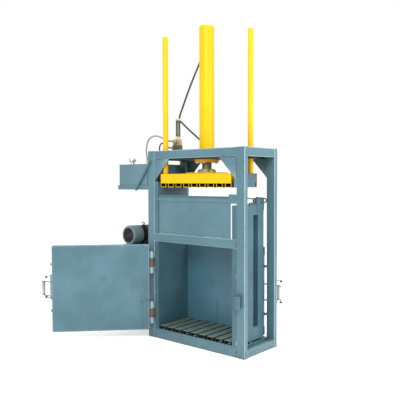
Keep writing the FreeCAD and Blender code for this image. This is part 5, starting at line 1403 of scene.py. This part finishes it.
@dataclass
class Press:
    """The platen, its guide rods, and the hydraulic cylinder above it."""

    slats: int = 9
    pitch: float = 109 * MM
    slat_wide: float = 76 * MM
    fold: float = 5 * MM
    wall: float = 7 * MM
    flange: float = 46 * MM
    end_plate: float = 6 * MM
    members: tuple[float, ...] = (-300 * MM, -95 * MM, 95 * MM, 300 * MM)
    member_wide: float = 60 * MM
    seat: Span = (165 * MM, 150 * MM)
    seat_weld: float = 140 * MM
    guide: float = 28.5 * MM
    sleeve: float = 36 * MM
    centre: Span = (0.0, -55 * MM)
    barrel: float = 77.5 * MM
    bore: float = 62.5 * MM
    rod: float = 50 * MM
    flange_out: float = 126 * MM
    flange_bolts: float = 107.5 * MM
    foot_out: float = 95 * MM
    foot_thick: float = 25 * MM
    foot_bolts: float = 78 * MM
    neck: float = 64 * MM
    piston_high: float = 62 * MM
    seal_depth: float = 3.3 * MM

    def platen(self, shop: Shop) -> None:
        """Make the channels, cross members and slats."""
        low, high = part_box("platen_channels")
        channels = Surface()
        for sign, face in ((-1, low.y), (1, high.y)):
            inner = face - sign * self.flange
            web = face - sign * self.wall
            corners = [(face, low.z), (face, high.z), (inner, high.z), (inner, high.z - self.wall),
                       (web, high.z - self.wall), (web, low.z + self.wall), (inner, low.z + self.wall),
                       (inner, low.z)]
            bar(channels, rounded(corners, 3 * MM, 3), Axis.X, (low.x, high.x), 0.8 * MM)
        shop.piece(channels, "platen_beams", Finish.BEAMS, "platen", "press_paint", "platen_channels")
        plates = Surface()
        low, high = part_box("platen_end_plates")
        for near in (low.x, high.x - self.end_plate):
            block(plates, (near, low.y, low.z), (near + self.end_plate, high.y, high.z), 1.2 * MM, Axis.X)
        shop.piece(plates, "platen_side_plates", Finish.FRAME, "platen", "frame_paint", "platen_end_plates")
        low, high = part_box("platen_cross_members")
        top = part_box("platen_channels")[1].z
        cross = Surface()
        for middle in self.members:
            outline = channel(middle, self.member_wide, low.z, top, self.fold)
            bar(cross, outline, Axis.Y, (low.y, high.y), 0.8 * MM)
        half_x, half_y = self.seat
        middle = self.centre[1]
        seat = rectangle((-half_x, half_x), (middle - half_y, middle + half_y), 8 * MM)
        bar(cross, seat, Axis.Z, (top, high.z), 1 * MM)
        for side in (-half_x, half_x):
            bead(cross, (side, middle - self.seat_weld, top + 1 * MM),
                 (side, middle + self.seat_weld, top + 1 * MM), 3 * MM)
        shop.piece(cross, "platen_ties", Finish.PRESS, "platen", "press_paint", "platen_cross_members")
        low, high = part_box("platen_slats")
        slats = Surface()
        for middle in row(self.slats, self.pitch):
            outline = channel(middle, self.slat_wide, high.z, low.z, self.fold)
            bar(slats, outline, Axis.Y, (low.y, high.y), 0.6 * MM)
        shop.piece(slats, "platen_face_slats", Finish.SLATS, "platen", "press_paint", "platen_slats")

    def guides(self, shop: Shop) -> None:
        """Make the guide rods with the boss at each foot, and the sleeves they run in."""
        low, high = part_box("guide_rods")
        sleeve_low, sleeve_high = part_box("guide_sleeves")
        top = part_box("platen_channels")[1].z
        rods = Surface()
        sleeves = Surface()
        for corner in ((low.x + self.guide, low.y + self.guide), (high.x - self.guide, high.y - self.guide)):
            turned(rods, [(self.guide, low.z + 1 * MM), (self.guide, top),
                          (self.guide + 5 * MM, top + 0.3 * MM), (self.guide + 2.5 * MM, top + 4 * MM),
                          (self.guide, top + 6 * MM), (self.guide, high.z - 3 * MM),
                          (self.guide - 1 * MM, high.z - 1 * MM), (self.guide - 3 * MM, high.z)],
                   Axis.Z, corner)
            profile = eased(self.sleeve, (sleeve_low.z, sleeve_high.z), 1.6 * MM)
            profile += [(self.guide + 0.3 * MM, sleeve_high.z), (self.guide + 0.3 * MM, sleeve_low.z)]
            turned(sleeves, profile, Axis.Z, corner, loop=True)
        shop.piece(rods, "guide_rod_pair", Finish.PRESS, "platen", "press_paint", "guide_rods")
        shop.piece(sleeves, "guide_bush_pair", Finish.STEEL, "root", "bare_steel", "guide_sleeves")

    def cylinder(self, shop: Shop) -> None:
        """Make the barrel, its end cap, the head flange and the flange's bolts."""
        low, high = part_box("cylinder_barrel")
        barrel = Surface()
        turned(barrel, [(self.barrel, low.z), (self.barrel, high.z - 1 * MM),
                        (self.barrel - 1.5 * MM, high.z), (self.bore, high.z), (self.bore, low.z)],
               Axis.Z, self.centre, loop=True, around=72)
        shop.piece(barrel, "press_barrel", Finish.PRESS, "root", "press_paint", "cylinder_barrel")
        low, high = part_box("cylinder_cap")
        cap = Surface()
        turned(cap, [(self.barrel - 1.5 * MM, low.z + 0.2 * MM), (self.barrel - 0.4 * MM, low.z + 3 * MM),
                     (self.barrel, low.z + 5 * MM), (self.barrel, high.z - 13 * MM),
                     (self.barrel - 1.2 * MM, high.z - 10.5 * MM), (self.barrel - 11 * MM, high.z - 1 * MM),
                     (self.barrel - 14 * MM, high.z), (16 * MM, high.z), (15 * MM, high.z - 4 * MM)],
               Axis.Z, self.centre, around=72)
        shop.piece(cap, "press_end_cap", Finish.PRESS, "root", "press_paint", "cylinder_cap")
        low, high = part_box("cylinder_flange")
        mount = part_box("cylinder_mount_plate")[0].z
        flange = Surface()
        inner, rim, spigot = self.rod + 0.1 * MM, self.flange_out, self.bore - 0.1 * MM
        turned(flange, [(inner, low.z), (56 * MM, low.z), (57 * MM, low.z + 1.5 * MM),
                        (62 * MM, low.z + 1.5 * MM), (63 * MM, low.z), (rim - 2 * MM, low.z),
                        (rim, low.z + 2 * MM), (rim, mount - 2 * MM), (rim - 2 * MM, mount),
                        (spigot, mount), (spigot, high.z), (inner, high.z)],
               Axis.Z, self.centre, loop=True, around=96)
        shop.piece(flange, "press_head_flange", Finish.FLANGE, "root", "flange_paint", "cylinder_flange")
        bolts = Surface()
        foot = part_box("flange_bolts")[0].z
        bolt_circle(bolts, self.centre, self.flange_bolts, low.z, 24 * MM, low.z - foot, -1)
        shop.piece(bolts, "flange_bolt_heads", Finish.ZINC, "root", "zinc_steel", "flange_bolts")

    def piston(self, shop: Shop) -> None:
        """Make the rod with its foot plate, neck and piston."""
        low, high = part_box("piston_rod")
        foot = low.z + self.foot_thick
        piston = high.z - self.piston_high
        rim, face = self.foot_out, self.bore - 0.2 * MM
        groove = face - self.seal_depth
        profile = [(rim - 2 * MM, low.z), (rim, low.z + 1.6 * MM), (rim, foot - 2 * MM), (rim - 2 * MM, foot),
                   (self.neck + 2 * MM, foot), (self.neck, foot + 1 * MM), (self.neck, foot + 10 * MM),
                   (self.neck - 2 * MM, foot + 12 * MM), (self.rod + 1.5 * MM, foot + 12 * MM),
                   (self.rod, foot + 14 * MM), (self.rod, piston), (face, piston)]
        for start in (piston + 14 * MM, piston + 40 * MM):
            profile += [(face, start), (groove, start + 0.5 * MM), (groove, start + 8 * MM),
                        (face, start + 8.5 * MM)]
        rod = Surface()
        turned(rod, profile + [(face, high.z)], Axis.Z, self.centre, around=72)
        shop.piece(rod, "press_rod", Finish.ROD, "platen", "rod_steel", "piston_rod")
        bolts = Surface()
        bolt_circle(bolts, self.centre, self.foot_bolts, foot, 19 * MM, 10 * MM)
        shop.piece(bolts, "rod_foot_bolt_heads", Finish.ZINC, "platen", "zinc_steel")

    def build(self, shop: Shop) -> None:
        """Make the press."""
        self.platen(shop)
        self.guides(shop)
        self.cylinder(shop)
        self.piston(shop)


@dataclass
class PowerPack:
    """Oil tank with its breather, the motor with its cowl and fan, the pump and the suction pipe."""

    lid: float = 5 * MM
    breather: float = 26 * MM
    motor: Span = (-968 * MM, 1087 * MM)
    radius: float = 104 * MM
    fins: int = 36
    fin: float = 9 * MM
    shields: Span = (18 * MM, 22 * MM)
    foot: Span = (55 * MM, 100 * MM)
    foot_thick: float = 14 * MM
    box_span: Span = (44 * MM, 146 * MM)
    box_rise: Span = (14 * MM, 90 * MM)
    eye: Span = (15 * MM, 5 * MM)
    cowl: float = 108 * MM
    skin: float = 3 * MM
    rolled: float = 14 * MM
    grille: tuple[float, ...] = (32 * MM, 48 * MM, 64 * MM)
    bar_wide: float = 6 * MM
    spokes: int = 8
    pump_long: float = 110 * MM
    pump_plates: tuple[Point, ...] = ((0.0, 22 * MM, 49 * MM), (24 * MM, 84 * MM, 46 * MM),
                                      (86 * MM, 110 * MM, 49 * MM))
    pump_screw: float = 34 * MM
    pipe: float = 17 * MM
    pipe_bend: float = 50 * MM

    def tank(self, shop: Shop) -> None:
        """Make the tank's shell with its overlapping lid, the lid's screws, and the breather."""
        low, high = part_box("oil_tank")
        lid = high.z - self.lid
        shell = Surface()
        walls = rectangle((low.x + 1 * MM, high.x - 1 * MM), (low.y + 1 * MM, high.y - 1 * MM), 14 * MM, 6)
        bar(shell, walls, Axis.Z, (low.z, lid), 0.8 * MM)
        bar(shell, rectangle((low.x, high.x), (low.y, high.y), 5 * MM), Axis.Z, (lid, high.z), 1.4 * MM)
        shop.piece(shell, "oil_tank_shell", Finish.TANK, "root", "frame_paint", "oil_tank")
        screws = Surface()
        for x in np.linspace(low.x + 18 * MM, high.x - 18 * MM, 5):
            for y in (low.y + 16 * MM, high.y - 16 * MM):
                bolt_head(screws, (x, y, high.z), Axis.Z, 10 * MM, 4 * MM)
        shop.piece(screws, "tank_lid_screws", Finish.ZINC, "root", "zinc_steel")
        low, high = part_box("tank_breather")
        middle = ((low.x + high.x) / 2, (low.y + high.y) / 2)
        neck = low.z + 34 * MM
        outer = (high.x - low.x) / 2
        tube_out = self.breather
        breather = Surface()
        turned(breather, [(tube_out + 7 * MM, low.z), (tube_out + 7 * MM, low.z + 3 * MM),
                          (tube_out, low.z + 4 * MM), (tube_out, neck), (outer - 3 * MM, neck),
                          (outer, neck + 4 * MM), (outer, high.z - 12 * MM),
                          (outer - 3 * MM, high.z - 5 * MM), (outer - 14 * MM, high.z - 1 * MM),
                          (outer - 30 * MM, high.z)], Axis.Z, middle)
        shop.piece(breather, "tank_air_cap", Finish.CHROME, "root", "breather_chrome", "tank_breather")

    def finned(self) -> Array:
        """Return the housing's section: a circle with a clipped cosine of fins, fading out underneath."""
        angle = np.linspace(0, 2 * math.pi, self.fins * 8, endpoint=False)
        tooth = np.clip(2.2 * np.cos(angle * self.fins), -1, 1) * 0.5 + 0.5
        below = np.clip((-np.sin(angle) - 0.55) * 6, 0, 1)
        reach = self.radius - self.fin + self.fin * tooth * (1 - below) - 0.5 * MM
        return np.array(self.motor) + reach[:, None] * np.stack([np.cos(angle), np.sin(angle)], axis=1)

    def motor_body(self, shop: Shop) -> None:
        """Make the finned housing, its end shields, feet and terminal box."""
        low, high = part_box("motor_housing")
        x, z = self.motor
        front, back = self.shields
        rim = self.radius - 1 * MM
        body = Surface()
        bar(body, self.finned(), Axis.Y, (low.y + front, high.y - back), 0.6 * MM)
        turned(body, [(96 * MM, low.y), (rim, low.y + 3 * MM), (rim, low.y + front),
                      (90 * MM, low.y + front + 1 * MM)], Axis.Y, self.motor)
        turned(body, [(90 * MM, high.y - back - 2 * MM), (rim, high.y - back), (rim, high.y - 8 * MM),
                      (rim - 7 * MM, high.y)], Axis.Y, self.motor)
        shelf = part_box("motor_shelf")[1].z
        for side in (-1, 1):
            near, far = sorted((x + side * self.foot[0], x + side * self.foot[1]))
            block(body, (near, low.y + 30 * MM, shelf), (far, high.y - 20 * MM, shelf + self.foot_thick),
                  3 * MM)
            block(body, (near + 8 * MM, low.y + 36 * MM, shelf + 10 * MM),
                  (far - 12 * MM, high.y - 26 * MM, z - 66 * MM), 4 * MM)
        near, far = (low.y + place for place in self.box_span)
        foot, top = (z + place for place in self.box_rise)
        block(body, (x + 84 * MM, near, foot), (high.x - 8 * MM, far, top), 6 * MM)
        lap = 4 * MM
        block(body, (high.x - 10 * MM, near - lap, foot - lap), (high.x, far + lap, top + lap + 2 * MM),
              5 * MM, Axis.X)
        shop.piece(body, "motor_case", Finish.MOTOR, "root", "motor_black", "motor_housing")

    def lifting_eye(self, shop: Shop) -> None:
        """Make the eye: a ring of circles about a circle, on a short stem."""
        x, z = self.motor
        wide, thick = self.eye
        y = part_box("motor_housing")[0].y + 96 * MM
        middle = np.array([x, y, z + self.radius + wide + 2 * MM])
        round_eye = Axis.Y.lift(circle(1.0), 0.0)
        section = circle(thick, steps=12)
        rings = round_eye[:, None] * (wide + section[None, :, :1])
        rings[:, :, 1] += section[None, :, 1]
        surface = Surface()
        surface.grid(middle + rings, loop=True)
        top = z + self.radius
        turned(surface, [(8 * MM, top - 6 * MM), (11 * MM, top - 4 * MM), (11 * MM, top),
                         (6 * MM, top + 3 * MM)], Axis.Z, (x, y))
        shop.piece(surface, "motor_lifting_eye", Finish.MOTOR, "root", "motor_black")

    def cowling(self, shop: Shop) -> None:
        """Make the pressed cowl: a rolled front edge, flat rings as a grille, and cross bars."""
        low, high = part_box("fan_cowl")
        skin, roll, out = self.skin, low.y + self.rolled, self.cowl
        cowl = Surface()
        profile = [(out, high.y), (out, roll), (out - 3 * MM, low.y + 5 * MM),
                   (out - 10 * MM, low.y + 1 * MM), (out - 18 * MM, low.y), (out - 28 * MM, low.y),
                   (out - 28 * MM, low.y + skin), (out - 20 * MM, low.y + skin),
                   (out - 8 * MM, low.y + 6 * MM), (out - skin, roll + 2 * MM), (out - skin, high.y)]
        turned(cowl, profile, Axis.Y, self.motor, loop=True, around=72)
        for inner in reversed(self.grille):
            outer = inner + self.bar_wide
            turned(cowl, [(inner, low.y), (outer, low.y), (outer, low.y + skin), (inner, low.y + skin)],
                   Axis.Y, self.motor, loop=True)
        turned(cowl, [(22 * MM, low.y), (22 * MM, low.y + skin)], Axis.Y, self.motor)
        centre = np.array(self.motor)
        for angle in np.arange(self.spokes) * 2 * math.pi / self.spokes:
            ahead = np.array([math.cos(angle), math.sin(angle)])
            aside = np.array([-ahead[1], ahead[0]]) * 2.5 * MM
            start, end = centre + ahead * 18 * MM, centre + ahead * 84 * MM
            spoke = np.stack([start - aside, end - aside, end + aside, start + aside])
            bar(cowl, spoke, Axis.Y, (low.y + 0.6 * MM, low.y + skin + 0.6 * MM), 0.3 * MM)
        shop.piece(cowl, "motor_fan_cover", Finish.COWL, "root", "cowl_paint", "fan_cowl")

    def drive(self, shop: Shop) -> None:
        """Make the bell housing and the pump with its cover plates and screws."""
        low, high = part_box("pump")
        x, z = self.motor
        pump = Surface()
        bell = high.y - self.pump_long
        turned(pump, [(84 * MM, low.y), (84 * MM, low.y + 10 * MM), (74 * MM, low.y + 16 * MM),
                      (64 * MM, bell - 16 * MM), (70 * MM, bell - 10 * MM), (70 * MM, bell)],
               Axis.Y, self.motor)
        for start, end, half in self.pump_plates:
            outline = rectangle((x - half, x + half), (z - half, z + half), 14 * MM, 5)
            bar(pump, outline, Axis.Y, (bell + start, bell + end))
        for place_x in (x - self.pump_screw, x + self.pump_screw):
            for place_z in (z - self.pump_screw, z + self.pump_screw):
                bolt_head(pump, (place_x, high.y - 9 * MM, place_z), Axis.Y, 13 * MM, 8.5 * MM)
        shop.piece(pump, "oil_pump", Finish.CAST, "root", "cast_housing", "pump")
        shop.dress(Finish.STEEL, "motor_rotor")

    def suction(self, shop: Shop) -> None:
        """Make the suction pipe: down from the tank, a quarter turn, and level into the pump."""
        low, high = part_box("suction_pipe")
        radius, bend = self.pipe, self.pipe_bend
        x = high.x - radius
        y = (low.y + high.y) / 2
        foot = low.z + radius
        turn = np.linspace(0, math.pi / 2, 12)
        arc = np.stack([x - bend * (1 - np.cos(turn)), np.full_like(turn, y),
                        foot + bend * (1 - np.sin(turn))], axis=1)
        end = min(low.x, arc[-1, 0] - 0.2 * MM)
        pipe = Surface()
        carried(pipe, np.concatenate([[(x, y, high.z)], arc, [(end, y, foot)]]), radius - 0.2 * MM, 28)
        for height in (high.z - 40 * MM, foot + bend + 40 * MM):
            turned(pipe, [(radius, height - 12 * MM), (radius - 0.1 * MM, height),
                          (radius, height + 12 * MM)], Axis.Z, (x, y))
        shop.piece(pipe, "oil_suction_pipe", Finish.STEEL, "root", "bare_steel", "suction_pipe")

    def build(self, shop: Shop) -> None:
        """Make the power pack."""
        self.tank(shop)
        self.motor_body(shop)
        self.lifting_eye(shop)
        self.cowling(shop)
        self.drive(shop)
        self.suction(shop)


@dataclass
class Valve:
    """Manifold and directional valve on the deck, with the unions that the hoses end in."""

    x: float = -418 * MM
    y: float = -56 * MM
    split: float = 2085 * MM
    half: Span = (42 * MM, 28 * MM)
    manifold_half: float = 32 * MM
    gasket: float = 2 * MM
    plug: float = 26 * MM
    coil: float = 22 * MM
    sleeves: tuple[Span, ...] = ((-410 * MM, -72 * MM), (-404 * MM, -39 * MM))
    sleeve_span: Span = (2180 * MM, 2354 * MM)
    sleeve: float = 12.4 * MM
    grip: float = 26 * MM
    adapter_foot: float = 2149 * MM
    knob: float = 12 * MM
    leg: float = 9 * MM
    barrel: float = Press.barrel
    barrel_centre: Span = Press.centre
    port_turn: float = 143.0
    port_reach: float = 129.5 * MM
    port_heights: Span = (2088 * MM, 3273 * MM)

    def about(self, half_x: float, half_y: float, low: float, high: float) -> tuple[Point, Point]:
        """Return the two corners of a box about the valve's upright centre line."""
        return (self.x - half_x, self.y - half_y, low), (self.x + half_x, self.y + half_y, high)

    def manifold(self, shop: Shop) -> None:
        """Make the manifold with its two hexagon plugs."""
        low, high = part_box("valve_block")
        surface = Surface()
        block(surface, (low.x, self.y - self.manifold_half, low.z),
              (high.x, self.y + self.manifold_half, self.split), 2.5 * MM)
        for place in (-self.plug, self.plug):
            spun(surface, [(10 * MM, 0), (10 * MM, 5 * MM), (8 * MM, 6.5 * MM)],
                 (self.x + place, self.y - self.manifold_half, low.z + 30 * MM), (0, -1, 0), 6)
        shop.piece(surface, "valve_manifold", Finish.VALVE, "root", "valve_metal", "valve_block")

    def valve(self, shop: Shop) -> None:
        """Make the valve's body with its two coils, and the gasket under it."""
        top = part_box("valve_block")[1].z
        half_x, half_y = self.half
        surface = Surface()
        block(surface, *self.about(half_x, half_y, self.split + self.gasket, top - 6 * MM), 3 * MM)
        block(surface, *self.about(half_x - 6 * MM, half_y - 4 * MM, top - 8 * MM, top), 2 * MM)
        for sign in (-1, 1):
            base = (self.x, self.y + sign * (half_y - 1 * MM), (self.split + top) / 2)
            spun(surface, [(16 * MM, 0), (16 * MM, 4 * MM), (self.coil - 1 * MM, 5 * MM), (self.coil, 7 * MM),
                           (self.coil, 25 * MM), (self.coil - 2 * MM, 27 * MM), (9 * MM, 27.5 * MM),
                           (9 * MM, 30.5 * MM), (7 * MM, 31 * MM)], base, (0, sign, 0), 32)
        shop.piece(surface, "directional_valve", Finish.SPOOL, "root", "valve_metal")
        gasket = Surface()
        lap = 0.2 * MM
        block(gasket, *self.about(half_x + 1 * MM, half_y + 1 * MM, self.split - lap,
                                  self.split + self.gasket + lap), 1 * MM)
        shop.piece(gasket, "valve_gasket", Finish.FLANGE, "root", "valve_metal")

    def union(self, into: Surface, base: Sequence[float], ahead: Sequence[float], length: float) -> None:
        """Add a hose union along a line: a plain neck with two hexagon nuts on it.

        Args:
            into: the surface that gets it.
            base: where it is screwed in.
            ahead: the line's direction.
            length: its length.
        """
        radius = 11 * MM
        spun(into, [(radius * 0.7, -1 * MM), (radius * 0.7, length)], base, ahead)
        line = np.asarray(ahead, float) / np.linalg.norm(ahead)
        nut = length * 0.30
        profile = [(radius * 0.92, 0), (radius * 1.08, 1 * MM), (radius * 1.08, nut),
                   (radius * 0.92, nut + 1 * MM)]
        for start in (1 * MM, length * 0.55):
            spun(into, profile, np.asarray(base) + line * start, ahead, 6)

    def ferrule(self, into: Surface, end: Sequence[float], ahead: Sequence[float], hose: float) -> None:
        """Add a crimped ferrule over a hose's first stretch, with three pressed rings.

        Args:
            into: the surface that gets it.
            end: the hose's end.
            ahead: the direction into the hose.
            hose: the hose's radius.
        """
        radius = hose + 2.6 * MM
        waist = hose + 1.2 * MM
        profile = [(hose * 0.8, -6 * MM), (radius, -5 * MM), (radius, 1 * MM)]
        for start in (3 * MM, 9 * MM, 15 * MM):
            profile += [(waist, start), (waist, start + 3 * MM), (radius, start + 4 * MM)]
        profile += [(radius, 21 * MM), (hose * 1.02, 22 * MM)]
        spun(into, profile, end, ahead)

    def elbow(self, into: Surface, head: Array, ahead: Sequence[float], end: Array) -> None:
        """Add an elbow: a knob at its corner, and a plain leg from there to a hose's end.

        Args:
            into: the surface that gets it.
            head: its corner.
            ahead: the line that the knob lies along.
            end: the hose's end.
        """
        knob, leg = self.knob, self.leg
        spun(into, [(3 * MM, -knob), (leg, -leg), (knob, -3 * MM), (knob, 3 * MM), (leg, leg),
                    (3 * MM, knob)], head, ahead)
        spun(into, [(leg, 0), (leg, float(np.linalg.norm(end - head)))], head, end - head)

    def unions(self, shop: Shop) -> None:
        """Make every adapter, port elbow and ferrule."""
        plated = Surface()
        for centre in self.sleeves:
            self.union(plated, (*centre, self.adapter_foot), (0, 0, 1),
                       self.sleeve_span[0] - self.adapter_foot)
        pump_low, pump_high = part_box("pump")
        back, out, top = Route.RETURN.value.points, Route.PRESSURE.value.points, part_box("oil_tank")[1].z
        for end, length in ((back[0], 30 * MM), (out[0], 34 * MM)):
            self.union(plated, (end[0] + length, end[1], end[2]), (-1, 0, 0), length)
        for foot in ((back[-1][0], back[-1][1], top),
                     ((pump_low.x + pump_high.x) / 2, out[-1][1], out[-1][2] - 36.5 * MM)):
            self.union(plated, foot, (0, 0, 1), 36 * MM)
        turn = math.radians(self.port_turn)
        outward = np.array([math.cos(turn), math.sin(turn), 0.0])
        for height, hose in zip(self.port_heights, (Route.LOWER, Route.UPPER)):
            axis = np.array([*self.barrel_centre, height])
            self.union(plated, axis + outward * self.barrel, outward, self.port_reach - self.barrel)
            self.elbow(plated, axis + outward * self.port_reach, outward, np.array(hose.value.points[-1]))
        for route in Route:
            points, radius = np.array(route.value.points), route.value.diameter / 2
            self.ferrule(plated, points[0], points[1] - points[0], radius)
            self.ferrule(plated, points[-1], points[-2] - points[-1], radius)
        shop.piece(plated, "hose_unions", Finish.BRASS, "root", "fitting_brass", "hose_fittings")

    def guards(self, shop: Shop) -> None:
        """Make the two long sleeves over the risers, and the elbow on the first."""
        surface = Surface()
        low, high = self.sleeve_span
        out, grip = self.sleeve, self.grip
        profile = [(10 * MM, low), (out, low + 1 * MM), (out, low + grip),
                   (out - 0.8 * MM, low + grip + 2 * MM), (out - 1 * MM, high - grip - 2 * MM),
                   (out, high - grip), (out, high - 1 * MM), (10 * MM, high)]
        for centre in self.sleeves:
            turned(surface, profile, Axis.Z, centre, around=28)
        shop.piece(surface, "hose_guards", Finish.SLEEVE, "root", "fitting_brass")
        elbow = Surface()
        rise = 24 * MM
        foot = np.array([*self.sleeves[0], high])
        spun(elbow, [(10 * MM, -1 * MM), (10 * MM, rise)], foot, (0, 0, 1))
        self.elbow(elbow, foot + np.array([0.0, 0.0, rise]), (0, 0, 1), np.array(Route.LOWER.value.points[0]))
        shop.piece(elbow, "guard_elbow", Finish.ZINC, "root", "fitting_brass")

    def build(self, shop: Shop) -> None:
        """Make the valve."""
        self.manifold(shop)
        self.valve(shop)
        self.unions(shop)
        self.guards(shop)


@dataclass(frozen=True)
class Hose:
    """A hose's node, size and route from fitting to fitting, in metres."""

    node: str
    diameter: float
    length: float
    points: tuple[Point, ...]
    finish: Finish
    slot: str
    stiffness: str = "stiff"


class Route(Enum):
    """The four hoses."""

    UPPER = Hose("upper_cylinder_hose", 0.020, 0.925, (
        (-0.404, -0.039, 2.354), (-0.404, -0.039, 2.396), (-0.368, -0.035, 2.468), (-0.322, -0.027, 2.582),
        (-0.262, -0.011, 2.726), (-0.204, 0.012, 2.868), (-0.156, 0.034, 2.982), (-0.118, 0.032, 3.080),
        (-0.1034, 0.0229, 3.160), (-0.1034, 0.0229, 3.216)), Finish.HOSE, "hose_rubber")
    LOWER = Hose("lower_cylinder_hose", 0.020, 0.358, (
        (-0.3859, -0.0688, 2.3588), (-0.342, -0.063, 2.324), (-0.282, -0.050, 2.266),
        (-0.222, -0.030, 2.210), (-0.170, -0.006, 2.160), (-0.1327, 0.0102, 2.1197)),
        Finish.HOSE, "hose_rubber")
    RETURN = Hose("return_hose", 0.018, 0.596, (
        (-0.490, -0.056, 2.135), (-0.536, -0.056, 2.135), (-0.602, -0.068, 2.162), (-0.670, -0.084, 2.194),
        (-0.734, -0.097, 2.204), (-0.790, -0.106, 2.184), (-0.826, -0.111, 2.141), (-0.840, -0.114, 2.082),
        (-0.842, -0.115, 2.012), (-0.832, -0.110, 1.958), (-0.832, -0.110, 1.921)),
        Finish.GREY_HOSE, "return_hose_rubber")
    PRESSURE = Hose("pressure_hose", 0.016, 1.459, (
        (-0.500, -0.056, 2.062), (-0.550, -0.056, 2.062), (-0.632, -0.036, 2.102), (-0.716, 0.000, 2.132),
        (-0.798, 0.044, 2.080), (-0.858, 0.128, 2.010), (-0.896, 0.238, 1.950), (-0.920, 0.340, 1.866),
        (-0.940, 0.374, 1.730), (-0.955, 0.364, 1.560), (-0.966, 0.325, 1.412), (-0.969, 0.254, 1.306),
        (-0.968, 0.208, 1.230), (-0.968, 0.208, 1.173)), Finish.HOSE, "hose_rubber")


@dataclass
class Hoses:
    """The hydraulic hoses, each one smooth spline with a round section."""

    def line(self, hose: Hose) -> bpy.types.Object:
        """Make one hose as a curve of its route's points."""
        data = bpy.data.curves.new(f"{hose.node}_line", "CURVE")
        data.dimensions = "3D"
        spline = data.splines.new("NURBS")
        spline.points.add(len(hose.points) - 1)
        for place, point in zip(spline.points, hose.points):
            place.co = (*point, 1.0)
        spline.order_u = 3
        spline.use_endpoint_u = True
        spline.resolution_u = 10
        data.bevel_depth = hose.diameter / 2
        data.bevel_resolution = 6
        data.use_fill_caps = True
        made = bpy.data.objects.new(f"{hose.node}_line", data)
        bpy.context.scene.collection.objects.link(made)
        return made

    def build(self, shop: Shop) -> None:
        """Make the hoses."""
        for route in Route:
            hose = route.value
            made = self.line(hose)
            made.data.materials.append(shop.coat(hose.finish))
            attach(made, "root")
            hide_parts(hose.node)
            LOG.info("%s: %.3f m", made.name, hose.length)


@dataclass
class Studio:
    """Pale floor, soft lights and the camera."""

    eye: Point = (3.7258, -4.5143, 1.6923)
    yaw: float = 40.6
    pitch: float = -1.913
    roll: float = -0.134
    lens: float = 50.12
    reach: float = 60.0
    glow: float = 0.12
    aim: Point = (-0.2, 0.0, 1.4)
    lamps: tuple[tuple[str, Point, float, float], ...] = (
        ("key", (2.6, -5.2, 4.6), 3.0, 300),
        ("side", (5.6, 1.2, 3.2), 3.0, 250),
        ("overhead", (0.0, 0.0, 6.5), 4.0, 230))

    def camera(self) -> None:
        """Stand the camera: yaw from +Y towards -X, then pitch, then roll about its own axis."""
        data = bpy.data.cameras.new("camera")
        data.lens = self.lens
        data.sensor_width = 36
        made = bpy.data.objects.new("camera", data)
        turn = Matrix.Rotation(math.radians(self.yaw), 4, "Z")
        turn = turn @ Matrix.Rotation(math.radians(90 + self.pitch), 4, "X")
        turn = turn @ Matrix.Rotation(math.radians(self.roll), 4, "Z")
        made.matrix_world = Matrix.Translation(Vector(self.eye)) @ turn
        bpy.context.scene.collection.objects.link(made)
        bpy.context.scene.camera = made

    def floor(self) -> None:
        """Lay the floor: a square grid with a plain pale finish."""
        half = self.reach
        mesh = bpy.data.meshes.new("floor")
        corners = [(-half, -half, 0), (half, -half, 0), (half, half, 0), (-half, half, 0)]
        mesh.from_pydata(corners, [], [(0, 1, 2, 3)])
        made = bpy.data.objects.new("floor", mesh)
        graph = Graph("floor_pale")
        cloud = graph.noise(0.6, 2)
        colour = graph.mix(cloud, (0.955, 0.955, 0.955), (0.97, 0.97, 0.97))
        mesh.materials.append(graph.finish(colour, cloud * 0.1 + 0.75))
        graph.shader.inputs["Emission Color"].default_value = (1.0, 1.0, 1.0, 1.0)
        graph.shader.inputs["Emission Strength"].default_value = self.glow
        made.location.z = -0.5 * MM
        bpy.context.scene.collection.objects.link(made)

    def lamp(self, name: str, place: Point, size: float, power: float) -> None:
        """Hang one square lamp that faces the machine's middle."""
        data = bpy.data.lights.new(name, "AREA")
        data.shape = "SQUARE"
        data.size = size
        data.energy = power
        made = bpy.data.objects.new(name, data)
        made.location = place
        aim = Vector(self.aim) - Vector(place)
        made.rotation_mode = "QUATERNION"
        made.rotation_quaternion = aim.to_track_quat("-Z", "Y")
        bpy.context.scene.collection.objects.link(made)

    def build(self) -> None:
        """Set the studio."""
        self.camera()
        self.floor()
        world = bpy.data.worlds.new("soft_light")
        world.use_nodes = True
        sky = world.node_tree.nodes["Background"]
        sky.inputs["Color"].default_value = (1.0, 1.0, 1.0, 1.0)
        sky.inputs["Strength"].default_value = 1.0
        bpy.context.scene.world = world
        bpy.context.scene.view_settings.view_transform = "Standard"
        for lamp in self.lamps:
            self.lamp(*lamp)


def main(frame: dict) -> None:
    """Build every sub-assembly in order."""
    shop = Shop(frame["nodes"])
    Studio().build()
    Hoses().build(shop)
    Valve().build(shop)
    FrameWork().build(shop)
    Chamber().build(shop)
    Hinges().build(shop)
    for side in Side:
        Door(side).build(shop)
    Press().build(shop)
    PowerPack().build(shop)


if __name__ == "__main__":
    logging.basicConfig(level=logging.INFO, format="%(name)s: %(message)s")
    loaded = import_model()
    main(loaded)
